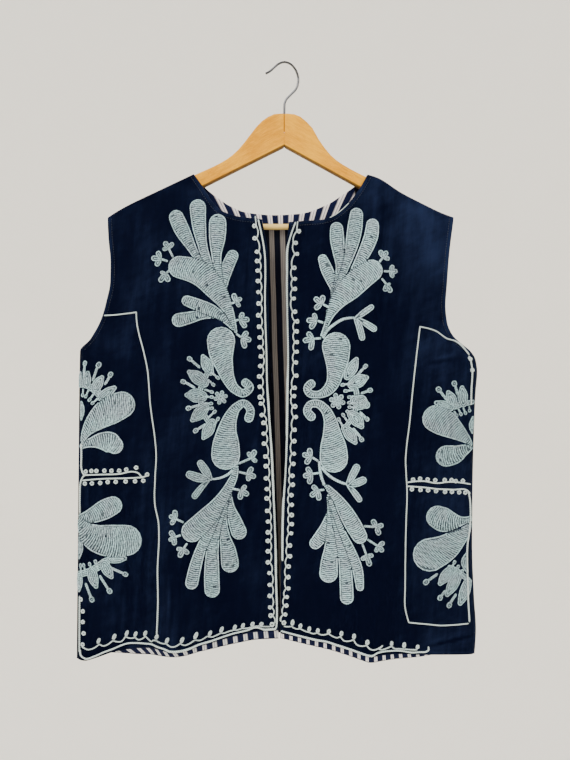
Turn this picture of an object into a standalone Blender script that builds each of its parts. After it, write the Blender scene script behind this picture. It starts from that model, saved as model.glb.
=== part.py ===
"""Embroidered velvet waistcoat hanging on a wooden hanger.

Frame: metres, +Z up, the fronts face -Y. The origin is the inner crown of the hanger's hook, where
it rests on a peg, and the hanger lies in the plane y = 0. Left and right are as seen from the front.

Each cloth wall is an open grid, thickened inwards by Solidify, so the grid is the garment's outer
face. A grid's columns run down from the neck and shoulder line to the hem. Its depth from the plane
y = 0 is a formula of the distance below the shoulder line and of the distance from the side fold.
"""
import math
from dataclasses import dataclass

import bmesh
import bpy
import numpy as np

# ---------------------------------------------------------------- driving dimensions (metres)
VELVET = 0.0020            # velvet wall
LINING = 0.0010            # striped cotton wall
GAP = 0.0003               # between neighbouring pieces
SEAM = GAP / 2             # each wall's distance from the seam plane y = 0

UNDERARM_Z = -0.4100
SHOULDER_ROLL = 0.0023     # height in which the cloth turns over the hanger's arm
SHOULDER_RISE = 0.00255    # shoulder line above the arm's upper edge
EDGE_TURN = 0.0024         # cloth turned in round the neck and armholes

WOOD_THICK = 0.0120
WOOD_BEVEL = 0.0020
WOOD_TOP_Z = -0.0725
WOOD_LOW_Z = -0.1200
ARM_REACH = 0.2140
TIP_INSET = 0.0015         # of the column beside each shoulder tip
NECK_STEPS = (0.0018, 0.0005)  # columns beside the shoulder's neck end, where the edge rounds the arm
BAR_RADIUS = 0.0042
BAR_Z = -0.2330
BAR_END_X = 0.1960
WIRE_RADIUS = 0.0017
SHANK_BORE = WIRE_RADIUS + GAP
SHANK_DEPTH = 0.0250       # of wire inside the wood

FACING_WIDTH = 0.0140      # striped strip inside the back neck
HEM_BAND_RISE = 0.0120     # striped hem strip above the velvet's edge
BACK_BAND_RISE = 0.0180
LINING_EDGE = 3            # back grid columns left bare beside each side fold
FACING_COLUMNS = slice(11, -11)  # back grid columns behind the neck

# hanger arm, upper edge of each half: distance from the middle, height
ARM_TOP_LEFT = ((0.000, -0.0725), (0.013, -0.0733), (0.030, -0.0822), (0.0415, -0.0937),
                (0.053, -0.1092), (0.072, -0.1305), (0.091, -0.1432), (0.125, -0.1590))
ARM_TOP_RIGHT = ((0.000, -0.0725), (0.015, -0.0738), (0.038, -0.0908), (0.0515, -0.1136),
                 (0.0705, -0.1362), (0.093, -0.1510), (0.125, -0.1672))


@dataclass(frozen=True)
class Half:
    """One half of the garment; x runs outwards from the middle, z upwards."""
    sign: int              # -1 left, +1 right
    arm_top: tuple         # hanger arm's upper edge
    slope: float           # fall of the arm's upper edge per metre outwards
    low_slope: float       # fall of its lower edge
    neck_x: float          # shoulder end of the neck
    tip: tuple             # shoulder tip x, z
    lift: float            # slack of the cloth above the arm beside the neck
    neck: tuple            # front neckline x, z, from the front corner to the shoulder
    armhole: tuple         # z, x down the armhole and the side fold
    front_edge: tuple      # z, x down the front edge
    hem: tuple             # x, z of the front's velvet hem
    peek: tuple            # x, depth of the striped hem strip below the velvet
    flutes: tuple          # x, amplitude, width of each fold at the hem


LEFT = Half(
    sign=-1, arm_top=ARM_TOP_LEFT, slope=0.472, low_slope=0.500, neck_x=0.1290, tip=(0.2510, -0.2197),
    lift=0.0,
    neck=((0.0310, -0.2252), (0.0390, -0.2240), (0.0610, -0.2216), (0.0856, -0.2141),
          (0.0978, -0.2039), (0.1126, -0.1816), (0.1290, -0.1580)),
    armhole=((-0.2197, 0.2510), (-0.2523, 0.2464), (-0.2846, 0.2434), (-0.3114, 0.2447),
             (-0.3424, 0.2520), (-0.3649, 0.2584), (-0.3929, 0.2740), (-0.4100, 0.2898),
             (-0.5364, 0.2922), (-0.6787, 0.2936), (-0.8600, 0.2936)),
    front_edge=((-0.2252, 0.0310), (-0.2828, 0.0221), (-0.3800, 0.0215), (-0.4790, 0.0216),
                (-0.5656, 0.0165), (-0.6634, 0.0130), (-0.7586, 0.0088), (-0.8200, 0.0078)),
    hem=((0.0080, -0.8000), (0.0396, -0.8030), (0.0634, -0.8086), (0.1131, -0.8212),
         (0.1526, -0.8290), (0.1900, -0.8255), (0.2207, -0.8280), (0.2430, -0.8315),
         (0.2655, -0.8400), (0.2936, -0.8455)),
    peek=((0.0080, 0.0130), (0.0634, 0.0115), (0.1131, 0.0090), (0.1526, 0.0062),
          (0.1900, 0.0090), (0.2207, 0.0085), (0.2430, 0.0030), (0.2640, -0.0030)),
    flutes=((0.1530, 0.0150, 0.0300), (0.2150, -0.0080, 0.0280), (0.0700, -0.0050, 0.0350)))

RIGHT = Half(
    sign=1, arm_top=ARM_TOP_RIGHT, slope=0.500, low_slope=0.550, neck_x=0.1184, tip=(0.2397, -0.2195),
    lift=0.0052,
    neck=((0.0060, -0.2290), (0.0150, -0.2284), (0.0319, -0.2269), (0.0541, -0.2254),
          (0.0687, -0.2197), (0.0883, -0.2039), (0.1056, -0.1816), (0.1184, -0.1590)),
    armhole=((-0.2195, 0.2397), (-0.2471, 0.2346), (-0.2846, 0.2281), (-0.3156, 0.2266),
             (-0.3452, 0.2245), (-0.3692, 0.2268), (-0.3860, 0.2330), (-0.3986, 0.2471),
             (-0.4100, 0.2640), (-0.4300, 0.2704), (-0.4894, 0.2700), (-0.6061, 0.2676),
             (-0.6830, 0.2672), (-0.7584, 0.2690), (-0.8048, 0.2724), (-0.8600, 0.2690)),
    front_edge=((-0.2290, 0.0060), (-0.2660, 0.0034), (-0.3236, 0.0038), (-0.4230, 0.0056),
                (-0.4776, 0.0030), (-0.5362, 0.0034), (-0.5837, 0.0018), (-0.6410, -0.0030),
                (-0.7572, -0.0052), (-0.8200, -0.0056)),
    hem=((-0.0056, -0.8050), (0.0080, -0.8080), (0.0581, -0.8176), (0.0930, -0.8270),
         (0.1188, -0.8345), (0.1400, -0.8335), (0.1569, -0.8335), (0.2006, -0.8370),
         (0.2350, -0.8385), (0.2690, -0.8400)),
    peek=((-0.0056, 0.0090), (0.0581, 0.0065), (0.1188, 0.0055), (0.1569, 0.0062),
          (0.2006, 0.0020), (0.2250, -0.0040)),
    flutes=((0.1250, 0.0130, 0.0240), (0.1750, 0.0040, 0.0260), (0.0500, -0.0040, 0.0300)))

# how far each edge stands off the seam plane, down the armhole: height, depth at the edge
FRONT_EDGE_DEPTH = ((-0.2200, 0.0042), (-0.2350, 0.0105), (-0.2850, 0.0150), (-0.3400, 0.0140),
                    (-0.3800, 0.0100), (-0.4000, 0.0055), (-0.4100, 0.0025))
BACK_EDGE_DEPTH = ((-0.2200, 0.0042), (-0.2350, 0.0070), (-0.2850, 0.0095), (-0.3400, 0.0100),
                   (-0.3800, 0.0080), (-0.4000, 0.0050), (-0.4100, 0.0025))

# back neck edge: x, z from the left shoulder to the right one
BACK_NECK = ((-0.1290, -0.1580), (-0.1092, -0.1800), (-0.0992, -0.1880), (-0.0764, -0.2030),
             (-0.0534, -0.2117), (-0.0148, -0.2152), (0.0225, -0.2132), (0.0612, -0.2003),
             (0.0798, -0.1888), (0.0998, -0.1750), (0.1184, -0.1590))
BACK_HEM = ((-0.2936, -0.8455), (-0.2200, -0.8330), (-0.1000, -0.8190), (0.0000, -0.8130),
            (0.1000, -0.8210), (0.2000, -0.8340), (0.2690, -0.8400))

# hook wire from its tip over the crown and down the shank: x, z
HOOK_ROUTE = ((-0.0268, -0.0150), (-0.0208, -0.0118), (-0.0138, -0.0056), (-0.0075, -0.0006),
              (0.0000, 0.0017), (0.0080, -0.0006), (0.0140, -0.0062), (0.0182, -0.0140),
              (0.0200, -0.0226), (0.0192, -0.0300), (0.0165, -0.0370), (0.0088, -0.0452),
              (0.0022, -0.0528), (0.0002, -0.0590), (0.0000, -0.0690))

COLLECTION = "embroidered_waistcoat"
PALETTE = {"velvet": ((0.010, 0.018, 0.055), 0.85, 0.0), "stripe": ((0.28, 0.27, 0.32), 0.9, 0.0),
           "wood": ((0.62, 0.38, 0.14), 0.45, 0.0), "pale_wood": ((0.74, 0.62, 0.36), 0.5, 0.0),
           "chrome": ((0.75, 0.75, 0.76), 0.15, 1.0)}


# ---------------------------------------------------------------- curves and fields
def smooth(knots, values, at):
    """Cubic Hermite curve through (knots, values) that never overshoots them."""
    order = np.argsort(knots)
    k = np.asarray(knots, float)[order]
    v = np.asarray(values, float)[order]
    rise = np.diff(v) / np.diff(k)
    before, after = rise[:-1], rise[1:]
    level = before * after <= 0
    middle = np.where(level, 0.0, 2 * before * after / np.where(level, 1.0, before + after))
    tangent = np.concatenate([rise[:1], middle, rise[-1:]])
    at = np.clip(np.asarray(at, float), k[0], k[-1])
    i = np.clip(np.searchsorted(k, at, side="right") - 1, 0, len(k) - 2)
    span = k[i + 1] - k[i]
    t = (at - k[i]) / span
    return ((2 * t**3 - 3 * t**2 + 1) * v[i] + (t**3 - 2 * t**2 + t) * span * tangent[i]
            + (3 * t**2 - 2 * t**3) * v[i + 1] + (t**3 - t**2) * span * tangent[i + 1])


def read(table, at):
    """Smooth value of a two-column table at the given places."""
    columns = np.array(table)
    return smooth(columns[:, 0], columns[:, 1], at)


def step(value, start, end):
    """Smooth 0 to 1 between start and end."""
    t = np.clip((value - start) / (end - start), 0.0, 1.0)
    return t * t * (3 - 2 * t)


def arm_line(half, x):
    """Height of the hanger arm's upper edge, straight beyond the table."""
    last_x, last_z = half.arm_top[-1]
    return np.where(x > last_x, last_z - half.slope * (x - last_x), read(half.arm_top, x))


def shoulder_line(half, x):
    """Height of the shoulder seam: on the arm, slack beside the neck, easing to the tip."""
    last_x, last_z = half.arm_top[-1]
    on_arm = last_z - half.slope * (x - last_x) + SHOULDER_RISE
    tip_x, tip_z = half.tip
    tip_drop = tip_z - (last_z - half.slope * (tip_x - last_x) + SHOULDER_RISE)
    ease = np.clip((x - ARM_REACH + 0.004) / (tip_x - ARM_REACH + 0.004), 0.0, None) ** 2
    return on_arm + half.lift * np.exp(-((x - 0.136) / 0.021) ** 2) + tip_drop * ease


def side_x(half, z):
    """Distance of the armhole edge, and below it of the side fold, from the middle."""
    return read(half.armhole, z)


def drop_below_shoulder(half, x, z):
    """Distance of a point below the shoulder line, square to it."""
    return np.maximum(shoulder_line(half, x) - z, 0.0) * math.cos(math.atan(half.slope))


def front_depth(half, x, z):
    """Front wall's distance before the seam plane.

    depth = E + K (1 - e^(-d/4 mm)) + (B - E - K) (1 - e^(-d/L)) + folds, with d the distance from
    the side, E the edge's own depth, K the quick turn at the side fold, none at the armhole, and
    B the depth on and below the hanger's arm, which grows as the front swings forward.
    """
    drop = drop_below_shoulder(half, x, z)
    over_arm = 0.0063 + 0.0026 * np.clip(drop / SHOULDER_ROLL, 0.0, 1.0)
    body = over_arm + 0.0180 * (1 - np.exp(-np.maximum(drop - SHOULDER_ROLL, 0.0) / 0.075))
    edge = read(FRONT_EDGE_DEPTH, z)
    away = np.maximum(side_x(half, z) - x, 0.0)
    fold = 0.0050 * step(z, UNDERARM_Z + 0.040, UNDERARM_Z)
    reach = 0.0080 + 0.0520 * step(z, -0.225, -0.330)
    depth = edge + fold * (1 - np.exp(-away / 0.004))
    depth = depth + (body - edge - fold) * (1 - np.exp(-away / reach))
    swing = step(z, -0.560, -0.830) * (1 - np.exp(-away / 0.030))
    for flute_x, amplitude, width in half.flutes:
        depth = depth + amplitude * swing * np.exp(-((x - flute_x) / width) ** 2)
    return depth


def back_depth(half, x, z):
    """Back wall's distance behind the seam plane; flatter than the fronts."""
    drop = drop_below_shoulder(half, np.maximum(x, half.neck_x), z)
    body = 0.0077 + 0.0023 * np.clip(drop / SHOULDER_ROLL, 0.0, 1.0)
    body = body + 0.0025 * (1 - np.exp(-np.maximum(drop - SHOULDER_ROLL, 0.0) / 0.100))
    edge = read(BACK_EDGE_DEPTH, z)
    away = np.maximum(side_x(half, z) - x, 0.0)
    fold = 0.0035 * step(z, UNDERARM_Z + 0.040, UNDERARM_Z)
    reach = 0.0080 + 0.0220 * step(z, -0.225, -0.330)
    depth = edge + fold * (1 - np.exp(-away / 0.004))
    depth = depth + (body - edge - fold) * (1 - np.exp(-away / reach))
    wave = 0.0022 * step(z, -0.600, -0.820) * np.cos(2 * math.pi * x / 0.150)
    return depth + wave * (1 - np.exp(-away / 0.030))


def back_depth_all(x, z):
    """Back depth across both halves; x is signed here."""
    return np.where(x < 0, back_depth(LEFT, np.abs(x), z), back_depth(RIGHT, np.abs(x), z))


def falls(top, hem, band_rise, upper_rows, lower_rows):
    """Heights down a grid's columns: the doubled top row, the roll over the arm, the neck facing's
    lower edge, then evenly to the underarm and to the hem strip's upper edge, and the hem."""
    start = top - FACING_WIDTH
    upper = [start + (UNDERARM_Z - start) * t for t in np.linspace(0, 1, upper_rows + 1)[1:]]
    end = hem + band_rise
    lower = [UNDERARM_Z + (end - UNDERARM_Z) * t for t in np.linspace(0, 1, lower_rows + 1)[1:]]
    return np.array([top, top, top - SHOULDER_ROLL, start] + upper + lower + [hem])


def rim_depth(edge_table, z):
    """Depth of a side edge's rim: the edge turned in, or the seam plane where that is nearer."""
    return np.maximum(read(edge_table, z) - EDGE_TURN, SEAM)


# ---------------------------------------------------------------- cloth grids
def front_grid(half):
    """Points of one front's outer face, columns from the front edge out to the side."""
    inner = half.front_edge[0][1]
    neck_x = np.linspace(inner, half.neck_x, 10)[:-1]
    steps = half.neck_x - np.array(NECK_STEPS)
    ends = np.array([1.0, 0.86, 0.72, 0.58, 0.45, 0.33, 0.22, 0.12, 0.05, 0.02, 0.0, 0.0])
    arm_x = half.tip[0] + (half.neck_x - half.tip[0]) * ends
    top_x = np.concatenate([neck_x, steps, arm_x])
    across = (top_x - inner) / (half.tip[0] - inner)
    on_seam = top_x >= half.neck_x - 1e-6
    top_z = np.where(on_seam, shoulder_line(half, top_x), read(half.neck, top_x))
    hem_edge = read(half.front_edge, -0.805)
    hem_z = read(half.hem, hem_edge + (side_x(half, -0.845) - hem_edge) * across)
    z = falls(top_z, hem_z, HEM_BAND_RISE, 8, 13)
    x = read(half.front_edge, z) * (1 - across) + side_x(half, z) * across
    x[0:2] = top_x
    x[0:2, -2] -= TIP_INSET
    z[0:2, -2] = shoulder_line(half, x[0, -2])
    depth = front_depth(half, x, z)
    depth[0] = np.where(on_seam, SEAM, depth[0] - EDGE_TURN)
    depth[1:, -1] = rim_depth(FRONT_EDGE_DEPTH, z[1:, -1])
    return np.stack([half.sign * x, -depth, z], axis=-1)


def back_grid():
    """Points of the back's outer face, columns from the left side to the right one."""
    ends = np.array([0.0, 0.0, 0.04, 0.10, 0.20, 0.38, 0.65, 1.0])
    left = LEFT.tip[0] + (LEFT.neck_x - LEFT.tip[0]) * ends
    right = RIGHT.tip[0] + (RIGHT.neck_x - RIGHT.tip[0]) * ends
    steps = np.array(NECK_STEPS)
    neck_x = np.linspace(-LEFT.neck_x, RIGHT.neck_x, 15)[1:-1]
    top_x = np.concatenate([-left, (steps - LEFT.neck_x)[::-1], neck_x, RIGHT.neck_x - steps,
                            right[::-1]])
    across = (top_x - top_x[0]) / (top_x[-1] - top_x[0])
    over_left = top_x <= -LEFT.neck_x + 1e-6
    over_right = top_x >= RIGHT.neck_x - 1e-6
    top_z = np.where(over_left, shoulder_line(LEFT, -top_x), read(BACK_NECK, top_x))
    top_z = np.where(over_right, shoulder_line(RIGHT, top_x), top_z)
    hem_left, hem_right = BACK_HEM[0][0], BACK_HEM[-1][0]
    hem_z = read(BACK_HEM, hem_left + (hem_right - hem_left) * across)
    z = falls(top_z, hem_z, BACK_BAND_RISE, 8, 11)
    x = -side_x(LEFT, z) * (1 - across) + side_x(RIGHT, z) * across
    x[0:2] = top_x
    for half, column, move in ((LEFT, 1, TIP_INSET), (RIGHT, -2, -TIP_INSET)):
        x[0:2, column] += move
        z[0:2, column] = shoulder_line(half, abs(x[0, column]))
    depth = back_depth_all(x, z)
    depth[0] = np.where(over_left | over_right, SEAM, depth[0] - EDGE_TURN)
    for column in (0, -1):
        depth[1:, column] = rim_depth(BACK_EDGE_DEPTH, z[1:, column])
    return np.stack([x, depth, z], axis=-1)


def inner_layer(panel, behind, outward):
    """A part of a panel's own points, moved in by behind; outward is the panel's y sense."""
    normal = np.cross(np.gradient(panel, axis=0), np.gradient(panel, axis=1))
    normal *= outward * np.sign(normal[..., 1:2])
    return panel - normal / np.linalg.norm(normal, axis=-1, keepdims=True) * behind


def lining_grid(back):
    """Back lining: from the neck facing to the hem strip, between the side folds."""
    grid = inner_layer(back[2:, 2:-2], VELVET + GAP, 1)
    grid = grid[1:-1, LINING_EDGE - 2:2 - LINING_EDGE]
    grid[0, :, 2] -= GAP
    grid[-1, :, 2] += GAP
    return grid


def neck_facing_grid(back):
    """Striped strip inside the back neck, level with the edge."""
    return inner_layer(back[1:4:2, FACING_COLUMNS], EDGE_TURN + GAP, 1)


def back_band_grid(back):
    """Striped strip inside the back hem."""
    return inner_layer(back[-3:, 2:-2], VELVET + GAP, 1)[1:, LINING_EDGE - 2:2 - LINING_EDGE]


def hem_band_grid(half, front):
    """Striped strip inside a front's hem, hanging out below the velvet."""
    grid = inner_layer(front[-3:, :-2], VELVET + GAP, -1)[1:, :-1]
    grid = grid[:, np.abs(grid[-1, :, 0]) < half.peek[-1][0]]
    hang = read(half.peek, half.sign * grid[-1, :, 0])[:, None]
    lower = grid[-1] + (grid[-1] - grid[0]) / HEM_BAND_RISE * hang
    return np.stack([grid[0], (grid[0] + lower) / 2, lower])


# ---------------------------------------------------------------- objects
def material(name):
    """The named finish of the palette."""
    colour, roughness, metallic = PALETTE[name]
    found = bpy.data.materials.get(name)
    if found:
        return found
    made = bpy.data.materials.new(name)
    made.use_nodes = True
    shader = made.node_tree.nodes["Principled BSDF"]
    shader.inputs["Base Color"].default_value = (*colour, 1.0)
    shader.inputs["Roughness"].default_value = roughness
    shader.inputs["Metallic"].default_value = metallic
    return made


def put(name, data, finish, parts):
    """Link an object with its finish to the parts collection."""
    obj = bpy.data.objects.new(name, data)
    parts.objects.link(obj)
    data.materials.append(material(finish))
    return obj


def cloth(name, grid, thickness, finish, parts, towards_back=False):
    """A cloth wall: the grid is its outer face, and Solidify adds the thickness inwards."""
    rows, columns = grid.shape[:2]
    index = np.arange(rows * columns).reshape(rows, columns)
    faces = np.stack([index[:-1, :-1], index[:-1, 1:], index[1:, 1:], index[1:, :-1]], axis=-1)
    faces = faces.reshape(-1, 4)
    corners = grid.reshape(-1, 3)[faces]
    sense = np.cross(corners[:, 2] - corners[:, 0], corners[:, 3] - corners[:, 1])[:, 1].sum()
    if (sense > 0) != towards_back:
        faces = faces[:, ::-1]
    mesh = bpy.data.meshes.new(name)
    mesh.from_pydata(grid.reshape(-1, 3).tolist(), [], faces.tolist())
    mesh.shade_smooth()
    obj = put(name, mesh, finish, parts)
    wall = obj.modifiers.new("wall", "SOLIDIFY")
    wall.thickness = thickness
    wall.offset = -1.0
    return obj


def build_garment(parts):
    """Fronts, back, lining and striped strips."""
    left, right, back = front_grid(LEFT), front_grid(RIGHT), back_grid()
    cloth("front_left", left, VELVET, "velvet", parts)
    cloth("front_right", right, VELVET, "velvet", parts)
    cloth("back_panel", back, VELVET, "velvet", parts, towards_back=True)
    cloth("back_lining", lining_grid(back), LINING, "stripe", parts, towards_back=True)
    cloth("neck_facing", neck_facing_grid(back), LINING, "stripe", parts, towards_back=True)
    cloth("hem_band_back", back_band_grid(back), LINING, "stripe", parts, towards_back=True)
    cloth("hem_band_left", hem_band_grid(LEFT, left), LINING, "stripe", parts)
    cloth("hem_band_right", hem_band_grid(RIGHT, right), LINING, "stripe", parts)


def arm_outline(half):
    """Outline of one wooden half: mitre, shoulder curve, arm, and the heel that holds the bar."""
    inner = SEAM
    top_x = np.concatenate([[inner], np.linspace(0.006, 0.125, 15), [0.165, ARM_REACH - 0.010]])
    top = [(x, float(arm_line(half, x))) for x in top_x]
    end_z = float(arm_line(half, ARM_REACH - 0.010))
    heel_x = BAR_END_X + GAP
    lower_z = WOOD_LOW_Z - half.low_slope * heel_x
    end = [(ARM_REACH - 0.003, end_z - 0.004), (ARM_REACH, end_z - 0.012),
           (ARM_REACH, BAR_Z - 0.006), (ARM_REACH - 0.006, BAR_Z - 0.012),
           (heel_x, BAR_Z - 0.012), (heel_x, lower_z)]
    return top + end + [(inner, WOOD_LOW_Z)]


def build_arm(name, half, parts, cutters):
    """A wooden half: a flat outline given its thickness, with a bore for half of the hook's shank."""
    curve = bpy.data.curves.new(name, "CURVE")
    curve.dimensions = "2D"
    curve.fill_mode = "BOTH"
    curve.extrude = WOOD_THICK / 2
    spline = curve.splines.new("POLY")
    outline = arm_outline(half)
    spline.points.add(len(outline) - 1)
    for point, (x, z) in zip(spline.points, outline):
        point.co = (half.sign * x, z, 0.0, 1.0)
    spline.use_cyclic_u = True
    flat = bpy.data.objects.new(name + "_outline", curve)
    flat.rotation_euler = (math.pi / 2, 0.0, 0.0)
    parts.objects.link(flat)
    bpy.context.view_layer.update()
    mesh = bpy.data.meshes.new_from_object(
        flat.evaluated_get(bpy.context.evaluated_depsgraph_get()))
    mesh.transform(flat.matrix_world)
    bpy.data.objects.remove(flat)
    shell = bmesh.new()
    shell.from_mesh(mesh)
    bmesh.ops.remove_doubles(shell, verts=shell.verts, dist=1e-6)
    bmesh.ops.recalc_face_normals(shell, faces=shell.faces)
    shell.to_mesh(mesh)
    shell.free()
    mesh.materials.clear()
    obj = put(name, mesh, "wood", parts)
    rounded = obj.modifiers.new("rounded_edges", "BEVEL")
    rounded.width = WOOD_BEVEL
    rounded.segments = 2
    rounded.limit_method = "ANGLE"
    rounded.angle_limit = math.radians(60)
    bore = obj.modifiers.new("shank_bore", "BOOLEAN")
    bore.operation = "DIFFERENCE"
    bore.object = cutters.objects["shank_cutter"]
    return obj


def build_shank_cutter(cutters):
    """Cylinder that bores the two halves for the hook's shank."""
    bpy.ops.mesh.primitive_cylinder_add(
        vertices=16, radius=SHANK_BORE, depth=SHANK_DEPTH + 0.010,
        location=(0.0, 0.0, WOOD_TOP_Z + 0.005 - SHANK_DEPTH / 2 - GAP))
    cutter = bpy.context.object
    cutter.name = "shank_cutter"
    cutter.hide_render = True
    cutter.display_type = "WIRE"
    for holder in list(cutter.users_collection):
        holder.objects.unlink(cutter)
    cutters.objects.link(cutter)


def build_hook(parts):
    """Chrome wire hook: a smooth route, ending in the shank inside the wood."""
    route = np.array(HOOK_ROUTE + ((0.0, WOOD_TOP_Z - SHANK_DEPTH),))
    length = np.concatenate([[0.0], np.cumsum(np.linalg.norm(np.diff(route, axis=0), axis=1))])
    at = np.concatenate([np.linspace(0.0, length[-2], 34), [length[-1]]])
    curve = bpy.data.curves.new("hanger_hook", "CURVE")
    curve.dimensions = "3D"
    curve.bevel_depth = WIRE_RADIUS
    curve.bevel_resolution = 2
    curve.use_fill_caps = True
    spline = curve.splines.new("POLY")
    spline.points.add(len(at) - 1)
    for point, x, z in zip(spline.points, smooth(length, route[:, 0], at),
                           smooth(length, route[:, 1], at)):
        point.co = (x, 0.0, z, 1.0)
    put("hanger_hook", curve, "chrome", parts)


def build_bar(parts):
    """Round trouser bar between the heels of the two arms."""
    bpy.ops.mesh.primitive_cylinder_add(vertices=20, radius=BAR_RADIUS, depth=2 * BAR_END_X,
                                        location=(0.0, 0.0, BAR_Z),
                                        rotation=(0.0, math.pi / 2, 0.0))
    bar = bpy.context.object
    bar.name = "hanger_bar"
    bar.data.materials.append(material("pale_wood"))
    for holder in list(bar.users_collection):
        holder.objects.unlink(bar)
    parts.objects.link(bar)
    bar.data.shade_smooth()
    bar.data.set_sharp_from_angle(angle=math.radians(40))


def main():
    """Build the garment and its hanger."""
    for old in list(bpy.data.objects):
        bpy.data.objects.remove(old)
    parts = bpy.data.collections.new(COLLECTION)
    cutters = bpy.data.collections.new("cutters")
    bpy.context.scene.collection.children.link(parts)
    bpy.context.scene.collection.children.link(cutters)
    build_garment(parts)
    build_shank_cutter(cutters)
    build_arm("hanger_arm_left", LEFT, parts, cutters)
    build_arm("hanger_arm_right", RIGHT, parts, cutters)
    build_hook(parts)
    build_bar(parts)


main()
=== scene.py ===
"""Embroidered velvet waistcoat on a wooden hanger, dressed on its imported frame.

Frame: metres, +Z up, the fronts face -Y, and the hook's crown rests at the origin. Each cloth piece
is a closed shell on the same named sizes and formulas as its solid, on a finer grid. The embroidery
is drawn in millimetres on the cloth, outwards from the middle and down from the hook, and is laid
on the cloth row by row as raised chain stitch.
"""
from __future__ import annotations

import logging
import math
from dataclasses import dataclass, field
from enum import Enum
from typing import Iterable, Sequence

import bpy
import numpy as np
from numpy.typing import NDArray
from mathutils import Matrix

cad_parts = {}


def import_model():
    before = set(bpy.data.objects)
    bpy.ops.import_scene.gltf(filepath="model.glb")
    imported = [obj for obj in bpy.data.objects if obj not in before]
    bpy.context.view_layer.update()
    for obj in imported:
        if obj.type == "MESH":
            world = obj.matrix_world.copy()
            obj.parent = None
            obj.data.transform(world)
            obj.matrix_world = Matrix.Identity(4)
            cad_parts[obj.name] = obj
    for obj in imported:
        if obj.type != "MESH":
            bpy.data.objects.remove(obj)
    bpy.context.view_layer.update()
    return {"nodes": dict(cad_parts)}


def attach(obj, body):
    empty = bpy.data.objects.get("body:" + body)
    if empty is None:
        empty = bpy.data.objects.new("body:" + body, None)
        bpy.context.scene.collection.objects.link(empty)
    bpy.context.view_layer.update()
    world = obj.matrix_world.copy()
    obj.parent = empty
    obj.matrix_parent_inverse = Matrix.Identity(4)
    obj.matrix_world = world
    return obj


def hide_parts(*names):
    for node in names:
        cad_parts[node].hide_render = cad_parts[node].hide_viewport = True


Array = NDArray[np.float64]
Places = tuple[float, ...]
Table = tuple[Places, ...]
Pair = tuple[float, float]
Triple = tuple[float, float, float]
LOG = logging.getLogger("waistcoat")
MM = 0.001

# ---------------------------------------------------------------- driving sizes (metres)
VELVET = 0.0020
LINING = 0.0010
GAP = 0.0003               # between neighbouring layers
SEAM = GAP / 2             # from a sewn edge to the seam plane
UNDERARM_Z = -0.4100
SHOULDER_ROLL = 0.0023     # drop over which the cloth rolls off the seam
SHOULDER_RISE = 0.00255    # of the shoulder seam over the arm's upper edge
SHOULDER_EASE = 0.0040     # before the arm's end, where the seam starts to fall to the tip
EDGE_TURN = 0.0024         # reach of the round turn at the armholes and the neck
HEM_TURN = 0.0022          # the same at the hem and the front edges
SIDE_TURN = 0.0040         # decay of the quick turn at the side fold
TOP_EASE = 0.0040          # drop in which the columns leave the top edge's own places
SLACK_X = 0.1360           # middle of the slack cloth beside the neck, where a half has any
SLACK_WIDTH = 0.0210
ARM_REACH = 0.2140         # outer end of the hanger's arms
FACING_WIDTH = 0.0180      # of the neck facing at the middle
FACING_MORE = 0.0050       # beside the shoulders
NECK_LOW = -0.2130         # of the back's neckline
FACING_SPAN = (0.286, 0.716)   # share of the back's width, from the left, that the facing takes
INNER_SPAN = (0.0249, 0.9753)  # the same for the lining and the back's hem strip
STRIPE_LEAN = 0.0290       # of the lining's stripes from upright
FAN_HEIGHT = 0.1650        # below the facing, where its stripes would meet
LEAN_SHARE = 0.1200        # of a front hem strip's own lean that its stripes have near the front edge
SWING_FADE = 0.0300        # distance from the side within which the folds at the hem die away
BACK_WAVE = 0.0022         # folds at the back's hem: height and length of a wave
BACK_WAVE_LENGTH = 0.1500
WOOD_LOW = 0.1200          # fall from the crown to the arms' lower edge at the middle
HEM_BAND_RISE = 0.0120     # of the front hem strips inside the velvet
BACK_BAND_RISE = 0.0180    # of the back hem strip inside the velvet
SIDE_NOSE = 0.0060         # reach of the round turn at the side fold
SHELL = 0.0017             # the dressed wall, so that its turned edges stay round


@dataclass(frozen=True)
class Half:
    """One half of the garment; x runs outwards from the middle, z upwards.

    Beyond its bend the hanger arm's upper edge falls straight, at the slope. The tip is the
    shoulder's, and the lift is how high the seam stands off the arm beside the neck. The tables give
    the front neckline, the armhole and side fold, the front edge, the hem, the depth of the striped
    strip below it, and the hem's folds: middle x, height, half width. Pleats are small creases: middle
    x, middle z, half length, half width, height, lean (radians from upright). Painted streaks are
    painted light and shade on the velvet, lighter or darker streaks along its creases and over its sheen,
    with the same columns and brightness for height.
    """
    sign: int
    arm_bend: Pair
    slope: float
    neck_x: float
    tip: Pair
    lift: float
    neck: Table
    armhole: Table
    front_edge: Table
    hem: Table
    peek: Table
    flutes: Table
    pleats: Table
    painted_streaks: Table

    @property
    def side(self) -> str:
        """Its name, as seen from the front."""
        return "left" if self.sign < 0 else "right"


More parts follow.
